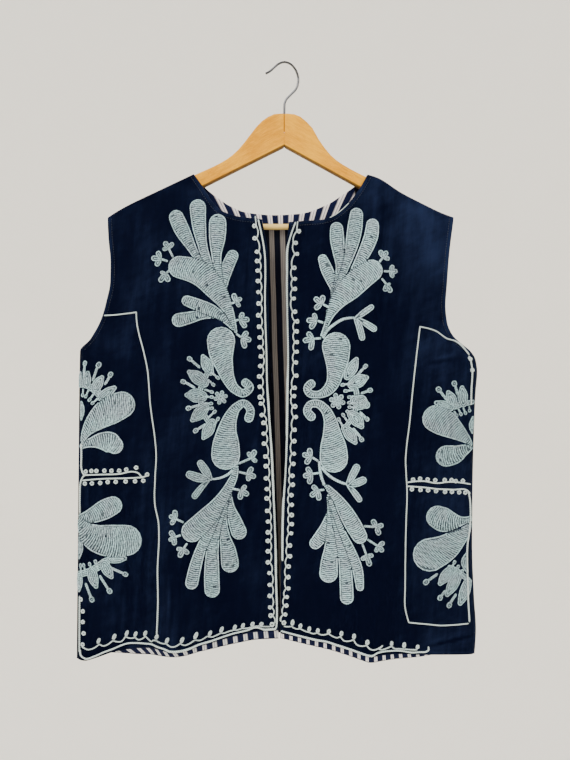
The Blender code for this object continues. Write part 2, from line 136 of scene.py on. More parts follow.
LEFT = Half(
    sign=-1, arm_bend=(0.125, -0.1590), slope=0.472, neck_x=0.1290, tip=(0.2510, -0.2197), lift=0.0,
    neck=((0.0310, -0.2252), (0.0390, -0.2240), (0.0610, -0.2216), (0.0856, -0.2141),
          (0.0978, -0.2039), (0.1126, -0.1816), (0.1290, -0.1580)),
    armhole=((-0.2197, 0.2510), (-0.2523, 0.2485), (-0.2846, 0.2453), (-0.3114, 0.2458),
             (-0.3424, 0.2520), (-0.3649, 0.2590), (-0.3929, 0.2752), (-0.4100, 0.2908),
             (-0.5364, 0.2926), (-0.6787, 0.2938), (-0.8000, 0.2950), (-0.8600, 0.2954)),
    front_edge=((-0.2252, 0.0310), (-0.2828, 0.0221), (-0.3800, 0.0215), (-0.4790, 0.0216),
                (-0.5656, 0.0165), (-0.6634, 0.0130), (-0.7586, 0.0088), (-0.8200, 0.0078)),
    hem=((0.0080, -0.8000), (0.0396, -0.8030), (0.0634, -0.8086), (0.1131, -0.8212),
         (0.1526, -0.8290), (0.1880, -0.8262), (0.2050, -0.8280), (0.2207, -0.8305),
         (0.2430, -0.8350), (0.2560, -0.8396), (0.2700, -0.8448), (0.2830, -0.8484),
         (0.2954, -0.8469)),
    peek=((0.0080, 0.0130), (0.0634, 0.0115), (0.1131, 0.0090), (0.1526, 0.0070),
          (0.1900, 0.0100), (0.2050, 0.0095), (0.2207, 0.0065), (0.2430, 0.0004),
          (0.2640, -0.0040)),
    flutes=((0.1530, 0.0150, 0.0300), (0.2150, -0.0080, 0.0280), (0.0700, -0.0050, 0.0350)),
    pleats=((0.161, -0.740, 0.075, 0.0060, 0.0016, 0.03), (0.186, -0.800, 0.050, 0.0050, -0.0014, 0.10),
            (0.243, -0.300, 0.060, 0.0070, 0.0012, -0.08), (0.200, -0.262, 0.045, 0.0060, 0.0009, 0.35),
            (0.166, -0.215, 0.040, 0.0055, -0.0008, 0.55), (0.040, -0.300, 0.050, 0.0060, 0.0007, 0.05),
            (0.262, -0.418, 0.030, 0.0045, -0.0012, 0.90), (0.030, -0.700, 0.090, 0.0060, 0.0008, -0.02),
            (0.118, -0.800, 0.045, 0.0060, -0.0010, -0.12)),
    painted_streaks=((0.160, -0.768, 0.050, 0.0022, 0.70, 0.04), (0.172, -0.760, 0.060, 0.0120, 0.12, 0.05),
          (0.280, -0.617, 0.016, 0.0035, 0.80, 0.05), (0.268, -0.400, 0.026, 0.0040, 0.50, -0.42),
          (0.241, -0.255, 0.060, 0.0100, 0.20, -0.06), (0.150, -0.185, 0.022, 0.0160, 0.30, 0.50),
          (0.200, -0.210, 0.030, 0.0120, 0.15, 1.00), (0.125, -0.205, 0.035, 0.0040, 0.45, 0.42),
          (0.070, -0.270, 0.060, 0.0120, -0.35, 0.10), (0.150, -0.420, 0.090, 0.0200, -0.25, 0.08),
          (0.234, -0.335, 0.050, 0.0140, -0.70, 0.00),
          (0.230, -0.760, 0.040, 0.0200, 0.22, -0.30), (0.0159, -0.700, 0.075, 0.0018, 0.60, 0.00),
          (0.0095, -0.713, 0.040, 0.0018, 0.60, 0.00)))

RIGHT = Half(
    sign=1, arm_bend=(0.125, -0.1672), slope=0.500, neck_x=0.1184, tip=(0.2407, -0.2195), lift=0.0052,
    neck=((0.0060, -0.2290), (0.0150, -0.2284), (0.0319, -0.2269), (0.0541, -0.2254),
          (0.0687, -0.2197), (0.0883, -0.2039), (0.1056, -0.1816), (0.1184, -0.1590)),
    armhole=((-0.2195, 0.2407), (-0.2471, 0.2364), (-0.2693, 0.2334), (-0.2973, 0.2310),
             (-0.3156, 0.2298), (-0.3452, 0.2278), (-0.3692, 0.2304), (-0.3860, 0.2376),
             (-0.3986, 0.2506), (-0.4100, 0.2650), (-0.4220, 0.2722), (-0.4400, 0.2746),
             (-0.4650, 0.2726), (-0.4894, 0.2712), (-0.6061, 0.2680), (-0.6830, 0.2674),
             (-0.7584, 0.2700), (-0.8048, 0.2728), (-0.8600, 0.2690)),
    front_edge=((-0.2290, 0.0060), (-0.2660, 0.0034), (-0.3236, 0.0038), (-0.4230, 0.0056),
                (-0.4776, 0.0030), (-0.5362, 0.0034), (-0.5837, 0.0018), (-0.6410, -0.0030),
                (-0.7572, -0.0052), (-0.8200, -0.0056)),
    hem=((-0.0056, -0.8050), (0.0080, -0.8082), (0.0376, -0.8152), (0.0600, -0.8200),
         (0.0930, -0.8290), (0.1060, -0.8325), (0.1188, -0.8350), (0.1400, -0.8335),
         (0.1569, -0.8335), (0.2006, -0.8370), (0.2350, -0.8385), (0.2690, -0.8400)),
    peek=((-0.0056, 0.0075), (0.0180, 0.0080), (0.0581, 0.0090), (0.1188, 0.0090),
          (0.1569, 0.0076), (0.1780, 0.0050), (0.2006, 0.0012), (0.2250, -0.0040)),
    flutes=((0.1250, 0.0130, 0.0240), (0.1750, 0.0040, 0.0260), (0.0500, -0.0040, 0.0300)),
    pleats=((0.137, -0.300, 0.110, 0.0055, 0.0013, 0.02), (0.218, -0.428, 0.020, 0.0035, -0.0013, 1.45),
            (0.222, -0.440, 0.022, 0.0035, 0.0011, 1.35), (0.196, -0.268, 0.045, 0.0060, 0.0010, -0.30),
            (0.232, -0.405, 0.024, 0.0040, -0.0010, 0.70), (0.150, -0.770, 0.070, 0.0060, 0.0012, 0.05),
            (0.040, -0.320, 0.060, 0.0060, 0.0006, -0.04), (0.122, -0.815, 0.040, 0.0050, 0.0012, 0.10),
            (0.215, -0.745, 0.060, 0.0060, 0.0009, -0.06)),
    painted_streaks=((0.1270, -0.176, 0.026, 0.0090, 0.55, 0.35), (0.150, -0.190, 0.030, 0.0070, 0.30, 1.05),
          (0.195, -0.217, 0.034, 0.0080, 0.60, -1.05), (0.207, -0.268, 0.024, 0.0070, 0.45, 0.10),
          (0.176, -0.262, 0.050, 0.0140, 0.22, 0.10), (0.137, -0.270, 0.090, 0.0035, -0.60, 0.02),
          (0.165, -0.330, 0.050, 0.0060, 0.25, 0.60), (0.216, -0.325, 0.050, 0.0120, -0.25, -0.05),
          (0.205, -0.400, 0.030, 0.0070, 0.35, 1.25), (0.226, -0.418, 0.018, 0.0022, 0.90, 1.35),
          (0.226, -0.424, 0.020, 0.0022, -0.60, 1.40), (0.204, -0.785, 0.034, 0.0040, 0.55, 0.05),
          (0.112, -0.776, 0.024, 0.0030, 0.50, 0.10), (0.130, -0.787, 0.024, 0.0030, 0.40, -0.05),
          (0.234, -0.8187, 0.034, 0.0016, -1.60, 1.39), (0.236, -0.8120, 0.034, 0.0030, 0.45, 1.37),
          (0.165, -0.560, 0.120, 0.0140, 0.16, 0.03), (0.060, -0.300, 0.080, 0.0140, -0.45, 0.05),
          (0.040, -0.740, 0.070, 0.0160, -0.30, 0.05), (0.150, -0.700, 0.060, 0.0120, 0.20, -0.08),
          (0.163, -0.795, 0.035, 0.0160, 0.35, 0.00), (0.152, -0.635, 0.045, 0.0140, 0.18, 0.00),
          (0.0021, -0.640, 0.028, 0.0020, 0.80, 0.00)))

FRONT_EDGE_DEPTH: Table = (
    (-0.2200, 0.0042), (-0.2350, 0.0105), (-0.2850, 0.0150), (-0.3400, 0.0140),
    (-0.3800, 0.0100), (-0.4000, 0.0055), (-0.4100, 0.0025))
BACK_EDGE_DEPTH: Table = (
    (-0.2200, 0.0042), (-0.2350, 0.0070), (-0.2850, 0.0095), (-0.3400, 0.0100),
    (-0.3800, 0.0080), (-0.4000, 0.0050), (-0.4100, 0.0025))
BACK_NECK: Table = (
    (-0.1290, -0.1580), (-0.1092, -0.1800), (-0.0992, -0.1880), (-0.0764, -0.2030),
    (-0.0534, -0.2117), (-0.0148, -0.2152), (0.0225, -0.2132), (0.0612, -0.2003),
    (0.0798, -0.1888), (0.0998, -0.1750), (0.1184, -0.1590))
BACK_HEM: Table = (
    (-0.2936, -0.8455), (-0.2200, -0.8330), (-0.1000, -0.8190), (0.0000, -0.8130),
    (0.1000, -0.8210), (0.2000, -0.8340), (0.2690, -0.8400))
BACK_PLEATS: Table = (
    (-0.120, -0.620, 0.120, 0.0080, 0.0012, 0.04), (0.090, -0.560, 0.140, 0.0080, 0.0010, -0.05),
    (-0.205, -0.330, 0.060, 0.0070, 0.0010, -0.20), (0.190, -0.320, 0.055, 0.0070, 0.0011, 0.22),
    (0.010, -0.700, 0.090, 0.0070, -0.0010, 0.02), (-0.235, -0.760, 0.070, 0.0060, 0.0012, 0.06),
    (0.175, -0.760, 0.060, 0.0060, -0.0010, -0.08), (0.030, -0.260, 0.035, 0.0060, -0.0007, 1.50))


# ---------------------------------------------------------------- curves and fields
def smooth(knots: Array, values: Array, at: Array) -> Array:
    """Cubic Hermite curve through (knots, values) that never overshoots them.

    Args:
        knots: places of the given values.
        values: the given values.
        at: places to read.
    Returns:
        The curve's values at those places.
    """
    order = np.argsort(knots)
    k = np.asarray(knots, float)[order]
    v = np.asarray(values, float)[order]
    rise = np.diff(v) / np.diff(k)
    before, after = rise[:-1], rise[1:]
    level = before * after <= 0
    middle = np.where(level, 0.0, 2 * before * after / np.where(level, 1.0, before + after))
    tangent = np.concatenate([rise[:1], middle, rise[-1:]])
    at = np.clip(np.asarray(at, float), k[0], k[-1])
    i = np.clip(np.searchsorted(k, at, side="right") - 1, 0, len(k) - 2)
    span = k[i + 1] - k[i]
    t = (at - k[i]) / span
    return ((2 * t**3 - 3 * t**2 + 1) * v[i] + (t**3 - 2 * t**2 + t) * span * tangent[i]
            + (3 * t**2 - 2 * t**3) * v[i + 1] + (t**3 - t**2) * span * tangent[i + 1])


def read(table: Table, at: Array) -> Array:
    """Smooth value of a two-column table at the given places."""
    columns = np.array(table)
    return smooth(columns[:, 0], columns[:, 1], at)


def step(value: Array, start: float, end: float) -> Array:
    """Smooth 0 to 1 between start and end."""
    t = np.clip((value - start) / (end - start), 0.0, 1.0)
    return t * t * (3 - 2 * t)


def turn(away: Array, reach: Array | float) -> Array:
    """Quarter round from 0 at an edge to 1 at its reach: sqrt(1 - (1 - away / reach)^2)."""
    t = np.clip(away / reach, 0.0, 1.0)
    return np.sqrt(1 - (1 - t) ** 2)


def shoulder_line(half: Half, x: Array) -> Array:
    """Height of the shoulder seam: on the arm, slack beside the neck, easing to the tip.

    Args:
        half: the garment's half.
        x: distance outwards.
    Returns:
        The seam's height at each place.
    """
    bend_x, bend_z = half.arm_bend
    on_arm = bend_z - half.slope * (x - bend_x) + SHOULDER_RISE
    tip_x, tip_z = half.tip
    tip_drop = tip_z - (bend_z - half.slope * (tip_x - bend_x) + SHOULDER_RISE)
    past, whole = (place - ARM_REACH + SHOULDER_EASE for place in (x, tip_x))
    ease = np.clip(past / whole, 0.0, None) ** 2
    slack = half.lift * np.exp(-((x - SLACK_X) / SLACK_WIDTH) ** 2)
    return on_arm + slack + tip_drop * ease


def side_x(half: Half, z: Array) -> Array:
    """Distance of the armhole edge, and below it of the side fold, from the middle."""
    return read(half.armhole, z)


def drop_below_shoulder(half: Half, x: Array, z: Array) -> Array:
    """Distance of a point below the shoulder line, square to it."""
    return np.maximum(shoulder_line(half, x) - z, 0.0) * math.cos(math.atan(half.slope))


def soft_pleats(pleats: Table, x: Array, z: Array) -> Array:
    """Small creases: each a ridge exp(-(across / width)^2) exp(-(along / length)^4) high.

    Args:
        pleats: middle x, middle z, half length, half width, height and lean of each.
        x: distance across.
        z: height.
    Returns:
        Their total height at each place.
    """
    total = np.zeros(np.broadcast(x, z).shape)
    for mid_x, mid_z, length, width, height, lean in pleats:
        along = (z - mid_z) * math.cos(lean) + (x - mid_x) * math.sin(lean)
        across = (x - mid_x) * math.cos(lean) - (z - mid_z) * math.sin(lean)
        bend = 0.12 * width * np.sin(along / length * 2.3 + mid_x * 40)
        total = total + height * (np.exp(-((across - bend) / width) ** 2)
                                  * np.exp(-(along / length) ** 4))
    return total


def facing_depth(x: Array) -> Array:
    """Width of the neck facing: deepest beside the shoulders, where the neckline swings away."""
    return FACING_WIDTH + FACING_MORE * np.exp(-((np.abs(x) - 0.082) / 0.032) ** 2)


@dataclass(frozen=True)
class Wall:
    """How far a wall of cloth lies from the seam plane; sizes in metres."""
    edge: Table            # depth of its side edge at each height
    on_arm: float          # depth at the shoulder seam
    roll: float            # what the roll off the seam adds
    swell: float           # what it gains down from the arm
    swell_drop: float      # drop over which the swell comes
    fold: float            # the quick turn at the side fold, none at the armhole
    slower: float          # how much further in the depth is reached below the shoulder's tip

    def depth(self, half: Half, x: Array, z: Array, drop: Array) -> tuple[Array, Array]:
        """Depth from the side inwards: E + K (1 - e^(-d/4 mm)) + (B - E - K) (1 - e^(-d/L)).

        d is the distance from the side, E the edge's own depth, K the turn at the side fold, B the
        depth well inside and L the distance over which that is reached.

        Args:
            half: the garment's half.
            x: distance outwards.
            z: height.
            drop: distance below the shoulder line.
        Returns:
            The depth, and the distance from the side.
        """
        body = self.on_arm + self.roll * np.clip(drop / SHOULDER_ROLL, 0.0, 1.0)
        below = np.maximum(drop - SHOULDER_ROLL, 0.0)
        body = body + self.swell * (1 - np.exp(-below / self.swell_drop))
        edge = read(self.edge, z)
        away = np.maximum(side_x(half, z) - x, 0.0)
        fold = self.fold * step(z, UNDERARM_Z + 0.040, UNDERARM_Z)
        reach = 0.0080 + self.slower * step(z, -0.225, -0.330)
        depth = edge + fold * (1 - np.exp(-away / SIDE_TURN))
        return depth + (body - edge - fold) * (1 - np.exp(-away / reach)), away


FRONT_WALL = Wall(FRONT_EDGE_DEPTH, 0.0063, 0.0026, 0.0180, 0.075, 0.0050, 0.0520)
BACK_WALL = Wall(BACK_EDGE_DEPTH, 0.0077, 0.0023, 0.0025, 0.100, 0.0035, 0.0220)


def front_depth(half: Half, x: Array, z: Array) -> Array:
    """Front wall's distance before the seam plane, with its creases and the folds at its hem."""
    drop = drop_below_shoulder(half, x, z)
    depth, away = FRONT_WALL.depth(half, x, z, drop)
    swing = step(z, -0.560, -0.830) * (1 - np.exp(-away / SWING_FADE))
    for flute_x, amplitude, width in half.flutes:
        depth = depth + amplitude * swing * np.exp(-((x - flute_x) / width) ** 2)
    return depth + soft_pleats(half.pleats, x, z) * step(drop, 0.008, 0.030)


def back_depth(half: Half, x: Array, z: Array) -> Array:
    """Back wall's distance behind the seam plane; flatter than the fronts."""
    drop = drop_below_shoulder(half, np.maximum(x, half.neck_x), z)
    depth, away = BACK_WALL.depth(half, x, z, drop)
    wave = BACK_WAVE * step(z, -0.600, -0.820) * np.cos(2 * math.pi * x / BACK_WAVE_LENGTH)
    return depth + wave * (1 - np.exp(-away / SWING_FADE))


def back_depth_all(x: Array, z: Array) -> Array:
    """Back depth across both halves, with its creases; x is signed here."""
    plain = np.where(x < 0, back_depth(LEFT, np.abs(x), z), back_depth(RIGHT, np.abs(x), z))
    return plain + soft_pleats(BACK_PLEATS, x, z) * step(-z, 0.225, 0.260)


def nosed(depth: Array, rim: Array, factor: Array) -> Array:
    """Depth rounded down to its rim: rim + (depth - rim) factor."""
    return rim + (depth - rim) * factor


def side_nosed(depth: Array, half: Half, wall: Wall, x: Array, z: Array) -> Array:
    """Depth rounded at the armhole and the side fold.

    Args:
        depth: the wall's own depth.
        half: the garment's half.
        wall: gives the depth of the side edge.
        x: distance outwards.
        z: height.
    Returns:
        The rounded depth.
    """
    reach = EDGE_TURN + (SIDE_NOSE - EDGE_TURN) * step(z, UNDERARM_Z + 0.030, UNDERARM_Z)
    rim = np.maximum(read(wall.edge, z) - EDGE_TURN, SEAM)
    return nosed(depth, rim, turn(side_x(half, z) - x, reach))


def front_surface(half: Half, x: Array, z: Array) -> Array:
    """Depth of a front's outer face, round at the side, away from its other edges."""
    return side_nosed(front_depth(half, x, z), half, FRONT_WALL, x, z)


def front_face(half: Half, x: Array, z: Array) -> Array:
    """Depth of a front's outer face, round at the side, the front edge and the hem."""
    depth = front_surface(half, x, z)
    for away in (x - read(half.front_edge, z), z - read(half.hem, x)):
        depth = nosed(depth, depth - HEM_TURN, turn(away, HEM_TURN))
    return np.maximum(depth, SEAM)


def back_surface(x: Array, z: Array) -> Array:
    """Depth of the back's outer face, round at both sides; x is signed."""
    depth = back_depth_all(x, z)
    for half in (LEFT, RIGHT):
        out = half.sign * x
        depth = np.where(out > 0, side_nosed(depth, half, BACK_WALL, out, z), depth)
    return depth


def spread(start: float, end: float, near: Sequence[float], far: Sequence[float],
           pitch: float) -> Array:
    """Places from start to end, crowded by the given distances at each end.

    Args:
        start: first place.
        end: last place, beyond start.
        near: distances from the start.
        far: distances from the end.
        pitch: spacing between them.
    Returns:
        The places in order.
    """
    low, high = start + near[-1], end - far[-1]
    count = max(int(round((high - low) / pitch)), 2)
    return np.concatenate([start + np.array(near[:-1]), np.linspace(low, high, count + 1),
                           end - np.array(far[:-1])[::-1]])


# ---------------------------------------------------------------- shader expressions
class Wire:
    """A socket's value; arithmetic on it adds Math nodes."""

    def __init__(self, graph: Graph, socket: bpy.types.NodeSocket) -> None:
        """Keep the graph and the output socket."""
        self.graph = graph
        self.socket = socket

    def _math(self, operation: str, *values: Wire | float) -> Wire:
        """A Math node on the given values."""
        return self.graph.add("ShaderNodeMath", {"operation": operation}, dict(enumerate(values)))

    def __add__(self, other: Wire | float) -> Wire:
        """Sum."""
        return self._math("ADD", self, other)

    def __radd__(self, other: float) -> Wire:
        """Sum, number first."""
        return self._math("ADD", other, self)

    def __sub__(self, other: Wire | float) -> Wire:
        """Difference."""
        return self._math("SUBTRACT", self, other)

    def __rsub__(self, other: float) -> Wire:
        """Difference, number first."""
        return self._math("SUBTRACT", other, self)

    def __mul__(self, other: Wire | float) -> Wire:
        """Product."""
        return self._math("MULTIPLY", self, other)

    def __truediv__(self, other: Wire | float) -> Wire:
        """Quotient."""
        return self._math("DIVIDE", self, other)

    def power(self, exponent: float) -> Wire:
        """The value raised to a power."""
        return self._math("POWER", self, exponent)

    def absolute(self) -> Wire:
        """The value without its sign."""
        return self._math("ABSOLUTE", self)

    def sine(self) -> Wire:
        """Sine of the value."""
        return self._math("SINE", self)

    def fraction(self) -> Wire:
        """The value less its whole part."""
        return self._math("FRACT", self)

    def at_least(self, other: Wire | float) -> Wire:
        """The greater of two values."""
        return self._math("MAXIMUM", self, other)

    def at_most(self, other: Wire | float) -> Wire:
        """The lesser of two values."""
        return self._math("MINIMUM", self, other)

    def rise(self, low: float, high: float) -> Wire:
        """Smooth 0 to 1 as the value goes from low to high."""
        return self.graph.add("ShaderNodeMapRange", {"interpolation_type": "SMOOTHSTEP"},
                              {0: self, 1: low, 2: high, 3: 0.0, 4: 1.0})


class Graph:
    """The node tree of one finish, ending in one Principled shader."""

    def __init__(self, name: str) -> None:
        """Start an empty material."""
        self.material = bpy.data.materials.new(name)
        self.material.use_nodes = True
        self.tree = self.material.node_tree
        self.tree.nodes.clear()

    def add(self, kind: str, settings: dict | None = None, inputs: dict | None = None,
            output: int | str = 0) -> Wire | None:
        """Add one node.

        Args:
            kind: the node's type.
            settings: its own settings, set before its sockets.
            inputs: numbers, colours or wires by socket name or place.
            output: which output the returned wire is.
        Returns:
            That output, or nothing where the node has none.
        """
        node = self.tree.nodes.new(kind)
        for key, value in (settings or {}).items():
            setattr(node, key, value)
        for key, value in (inputs or {}).items():
            if isinstance(value, Wire):
                self.tree.links.new(value.socket, node.inputs[key])
            else:
                node.inputs[key].default_value = value
        return Wire(self, node.outputs[output]) if len(node.outputs) else None

    def place(self, scale: Triple = (1.0, 1.0, 1.0), turned: Triple = (0.0, 0.0, 0.0)) -> Wire:
        """Object coordinates, turned and then scaled."""
        plain = self.add("ShaderNodeTexCoord", output="Object")
        return self.add("ShaderNodeMapping", {"vector_type": "TEXTURE"},
                        {0: plain, "Rotation": turned, "Scale": tuple(1 / part for part in scale)})

    def uv(self) -> tuple[Wire, Wire]:
        """The piece's own map, as two values."""
        return self.axes(self.add("ShaderNodeUVMap", {"uv_map": "weave"}))[:2]

    def axes(self, place: Wire) -> tuple[Wire, Wire, Wire]:
        """The three values of a vector."""
        split = self.add("ShaderNodeSeparateXYZ", None, {0: place})
        outputs = split.socket.node.outputs
        return split, Wire(self, outputs[1]), Wire(self, outputs[2])

    def noise(self, place: Wire, scale: float, detail: float = 3.0, rough: float = 0.55) -> Wire:
        """Noise from 0 to 1."""
        return self.add("ShaderNodeTexNoise", None,
                        {"Vector": place, "Scale": scale, "Detail": detail, "Roughness": rough})

    def colour(self, factor: Wire | float, first: Wire | tuple, second: Wire | tuple,
               blend: str = "MIX") -> Wire:
        """Mix of two colours."""
        values = [value if isinstance(value, Wire) else (*value, 1.0) for value in (first, second)]
        return self.add("ShaderNodeMix", {"data_type": "RGBA", "blend_type": blend},
                        {0: factor, 6: values[0], 7: values[1]}, 2)

    def grey(self, value: Wire) -> Wire:
        """A grey of the given brightness."""
        return self.add("ShaderNodeCombineColor", None, {0: value, 1: value, 2: value})

    def tone(self) -> Wire:
        """The piece's tone attribute at each point: a brightness carrying painted light and shade, or on a
        hem strip its height share.
        """
        return self.add("ShaderNodeAttribute", {"attribute_name": "tone"}, output="Fac")

    def bump(self, height: Wire, distance: float, strength: float) -> Wire:
        """A bumped normal."""
        return self.add("ShaderNodeBump", None,
                        {"Strength": strength, "Distance": distance, "Height": height})

    def finish(self, **sockets: Wire | float | tuple) -> bpy.types.Material:
        """End in a Principled shader.

        Args:
            sockets: values by socket name, with underscores for spaces.
        Returns:
            The finished material.
        """
        inputs = {key.replace("_", " "): value for key, value in sockets.items()}
        shader = self.add("ShaderNodeBsdfPrincipled", None, inputs)
        self.add("ShaderNodeOutputMaterial", None, {0: shader})
        return self.material


# ---------------------------------------------------------------- finishes
@dataclass(frozen=True)
class Velvet:
    """Midnight blue cotton velvet with a brushed nap."""
    name: str = "velvet"
    deep: Triple = (0.0004, 0.0012, 0.0070)
    lit: Triple = (0.0100, 0.0165, 0.0460)
    sheen: float = 0.06

    def material(self) -> bpy.types.Material:
        """Nap as streaks and clouds of tone over a broad drift, with painted sheen and painted light and
        shade, and a fine pile bump.
        """
        graph = Graph(self.name)
        place = graph.place()
        x, _, z = graph.axes(place)
        drift = graph.noise(graph.place((4.2, 2.0, 2.6)), 1.0, 2.0, 0.5)
        streaks = graph.noise(graph.place((105.0, 80.0, 11.0), (0.0, 0.10, 0.0)), 1.0, 4.0, 0.66)
        clouds = graph.noise(graph.place((17.0, 14.0, 9.0), (0.0, 0.35, 0.0)), 1.0, 3.0, 0.58)
        strokes = graph.noise(graph.place((46.0, 40.0, 130.0), (0.0, -0.5, 0.0)), 1.0, 3.0, 0.6)
        pile = graph.noise(graph.place((1.0, 1.0, 0.6)), 1500.0, 2.0, 0.7)
        # the tone attribute: painted highlight along the turned edges, painted shade on the stitch line,
        # painted streaks of light and shade
        edge = graph.tone()
        # painted sheen: lighter towards the right side, a little towards the left one, and over the upper
        # front
        right = x.rise(0.13, 0.28) * 0.12 + (x * -1.0).rise(0.18, 0.30) * 0.02
        top = z.rise(-0.36, -0.18) * x.rise(-0.05, 0.20) * 0.12
        tone = (drift * 0.34 + streaks * 0.36 + clouds * 0.42 + strokes * 0.20 + pile * 0.12
                + right + top + edge * 0.12).rise(0.66, 1.22)
        colour = graph.colour(tone, self.deep, self.lit)
        rough = 0.66 + streaks * 0.26
        lumps = graph.noise(place, 120.0, 3.0, 0.6)
        normal = graph.bump(lumps * 0.5 + pile * 0.35, 0.0009, 0.55)
        return graph.finish(Base_Color=colour, Roughness=rough, Normal=normal,
                            Sheen_Weight=self.sheen, Sheen_Roughness=0.38,
                            Sheen_Tint=(0.22, 0.36, 0.80, 1.0), Specular_IOR_Level=0.02)


@dataclass(frozen=True)
class Thread:
    """Pale grey-green cotton thread worked in chain stitch; u counts the links along a row."""
    name: str = "thread"
    pale: Triple = (0.350, 0.530, 0.565)
    lilac: Triple = (0.355, 0.462, 0.510)
    # painted shade deep between the rows and the strands, where the dark velvet also shows through
    valley_shade: Triple = (0.012, 0.019, 0.028)

    def material(self) -> bpy.types.Material:
        """Two strands to a link, closing at its ends, with painted shade towards the row's edges and between
        the strands and a painted highlight on the strands' crowns.
        """
        graph = Graph(self.name)
        u, v = graph.uv()
        place = graph.place()
        tone = graph.tone()
        wide = v.absolute()
        open_link = (u.fraction() * math.pi).sine().at_least(0.0)
        strand = (wide - open_link.power(0.6) * 0.46).absolute()
        crown = 1.0 - (strand * 1.9).at_most(1.0).power(2.0)
        ply = ((u * 5.0 + v * 0.9) * (2 * math.pi)).sine() * 0.5 + 0.5
        fibre = graph.noise(place, 2600.0, 2.0, 0.6)
        patches = graph.noise(place, 42.0, 3.0, 0.55).rise(0.38, 0.66)
        body = graph.colour(patches, self.pale, self.lilac)
        speck = graph.noise(place, 560.0, 2.0, 0.6)
        grain = speck.rise(0.36, 0.46) * 0.42 + speck.rise(0.50, 0.62) * 0.54
        # tone carries each form's painted light and shade; crown adds a painted highlight along each strand
        shade = (tone * (0.20 + grain + crown * 0.22 + ply * 0.06 + fibre * 0.10)).at_most(1.4)
        body = graph.colour(1.0, body, graph.grey(shade), "MULTIPLY")
        gaps = 1.0 - speck.rise(0.44, 0.56) * 0.75
        # painted shade towards the row's edges and between the strands, partly the dark velvet showing
        # between rows
        edge = wide.power(4.0) * 0.80 * gaps + (1.0 - crown) * (1.0 - wide) * 0.40
        colour = graph.colour(edge.at_most(1.0), body, self.valley_shade)
        normal = graph.bump(crown * 0.75 + ply * 0.16 + fibre * 0.12, 0.0007, 0.8)
        return graph.finish(Base_Color=colour, Roughness=0.72, Normal=normal,
                            Sheen_Weight=0.10, Sheen_Roughness=0.5, Specular_IOR_Level=0.22)


SEAM_THREAD = Thread("seam_thread", (0.0012, 0.0028, 0.0110), (0.0020, 0.0040, 0.0150),
                     (0.0002, 0.0004, 0.0020))


@dataclass(frozen=True)
class Padding:
    """Thread seen deep between the rows, with the velvet showing where it is thin."""
    name: str = "padding"

    def material(self) -> bpy.types.Material:
        """Shaded thread broken by small dark gaps."""
        graph = Graph(self.name)
        place = graph.place()
        gaps = graph.noise(graph.place((1.0, 1.0, 2.2)), 190.0, 2.0, 0.6).rise(0.52, 0.60)
        strands = graph.noise(place, 1400.0, 2.0, 0.6)
        body = graph.colour(strands, (0.022, 0.034, 0.044), (0.090, 0.122, 0.134))
        colour = graph.colour(gaps, body, (0.004, 0.006, 0.018))
        return graph.finish(Base_Color=colour, Roughness=0.88,
                            Normal=graph.bump(strands, 0.0004, 0.8), Specular_IOR_Level=0.15)


@dataclass(frozen=True)
class Cord:
    """Twisted pale cord; u counts the turns along it."""
    name: str = "cord"
    # light is the plies' own pale colour; groove_shade is painted shade in the grooves and along the cord's
    # sides
    light: Triple = (0.680, 0.790, 0.765)
    groove_shade: Triple = (0.120, 0.160, 0.175)

    def material(self) -> bpy.types.Material:
        """Slanted plies with painted shade in the grooves between them and along the cord's sides."""
        graph = Graph(self.name)
        u, v = graph.uv()
        ply = ((u + v * 0.55) * (2 * math.pi)).sine() * 0.5 + 0.5
        fibre = graph.noise(graph.place(), 2400.0, 2.0, 0.6)
        tone = graph.tone()
        # painted shade in the grooves between the plies and towards the cord's sides
        lift = (ply.power(0.6) * 0.75 + 0.25 - v.absolute().power(4.0) * 0.45).at_least(0.0)
        shade = (lift * tone * (0.86 + fibre * 0.25)).at_most(1.0)
        colour = graph.colour(shade, self.groove_shade, self.light)
        normal = graph.bump(ply.power(0.5) * 0.8 + fibre * 0.1, 0.0006, 0.8)
        return graph.finish(Base_Color=colour, Roughness=0.70, Normal=normal,
                            Sheen_Weight=0.10, Sheen_Roughness=0.5, Specular_IOR_Level=0.25)


@dataclass(frozen=True)
class StripedCotton:
    """Woven stripe: pale bands of fine lines on navy; u runs across the stripes in metres."""
    name: str
    period: float          # width of a pale and a navy band, in metres
    pale_part: float       # share of it that the pale band takes
    pale: Triple
    line: Triple
    navy: Triple
    lines: float = 2.0     # fine lines in a pale band
    hem: bool = False      # its pale bands stop short of the strip's edges: painted shade just below the velvet's hem, and navy along its lower edge

    def material(self) -> bpy.types.Material:
        """Stripes from the map, with a plain weave over both colours."""
        graph = Graph(self.name)
        u, v = graph.uv()
        waver = (graph.noise(graph.place((3.0, 3.0, 14.0)), 1.0, 2.0) - 0.5) * 0.0016
        across = ((u + waver) / self.period).fraction()
        band = across.rise(0.0, 0.05) - across.rise(self.pale_part, self.pale_part + 0.05)
        if self.hem:
            share = graph.tone()
            # painted shade on the top of the strip, just below the velvet's hem; navy along its lower edge
            band = band * share.rise(0.05, 0.14) * (1.0 - share.rise(0.80, 0.92))
        thin = ((across / self.pale_part * (self.lines * 2 * math.pi)).sine()).rise(0.15, 0.75)
        pale = graph.colour(thin * 0.75, self.pale, self.line)
        colour = graph.colour(band, self.navy, pale)
        warp = ((u / 0.00062) * (2 * math.pi)).sine()
        weft = ((v / 0.00070) * (2 * math.pi)).sine()
        fibre = graph.noise(graph.place(), 1100.0, 2.0, 0.6)
        worn = 0.78 + fibre * 0.34 + warp * weft * 0.07
        colour = graph.colour(1.0, colour, graph.grey(worn), "MULTIPLY")
        normal = graph.bump(warp * weft * 0.5 + fibre * 0.6, 0.00035, 0.7)
        return graph.finish(Base_Color=colour, Roughness=0.86, Normal=normal,
                            Sheen_Weight=0.02, Sheen_Roughness=0.5, Specular_IOR_Level=0.1)


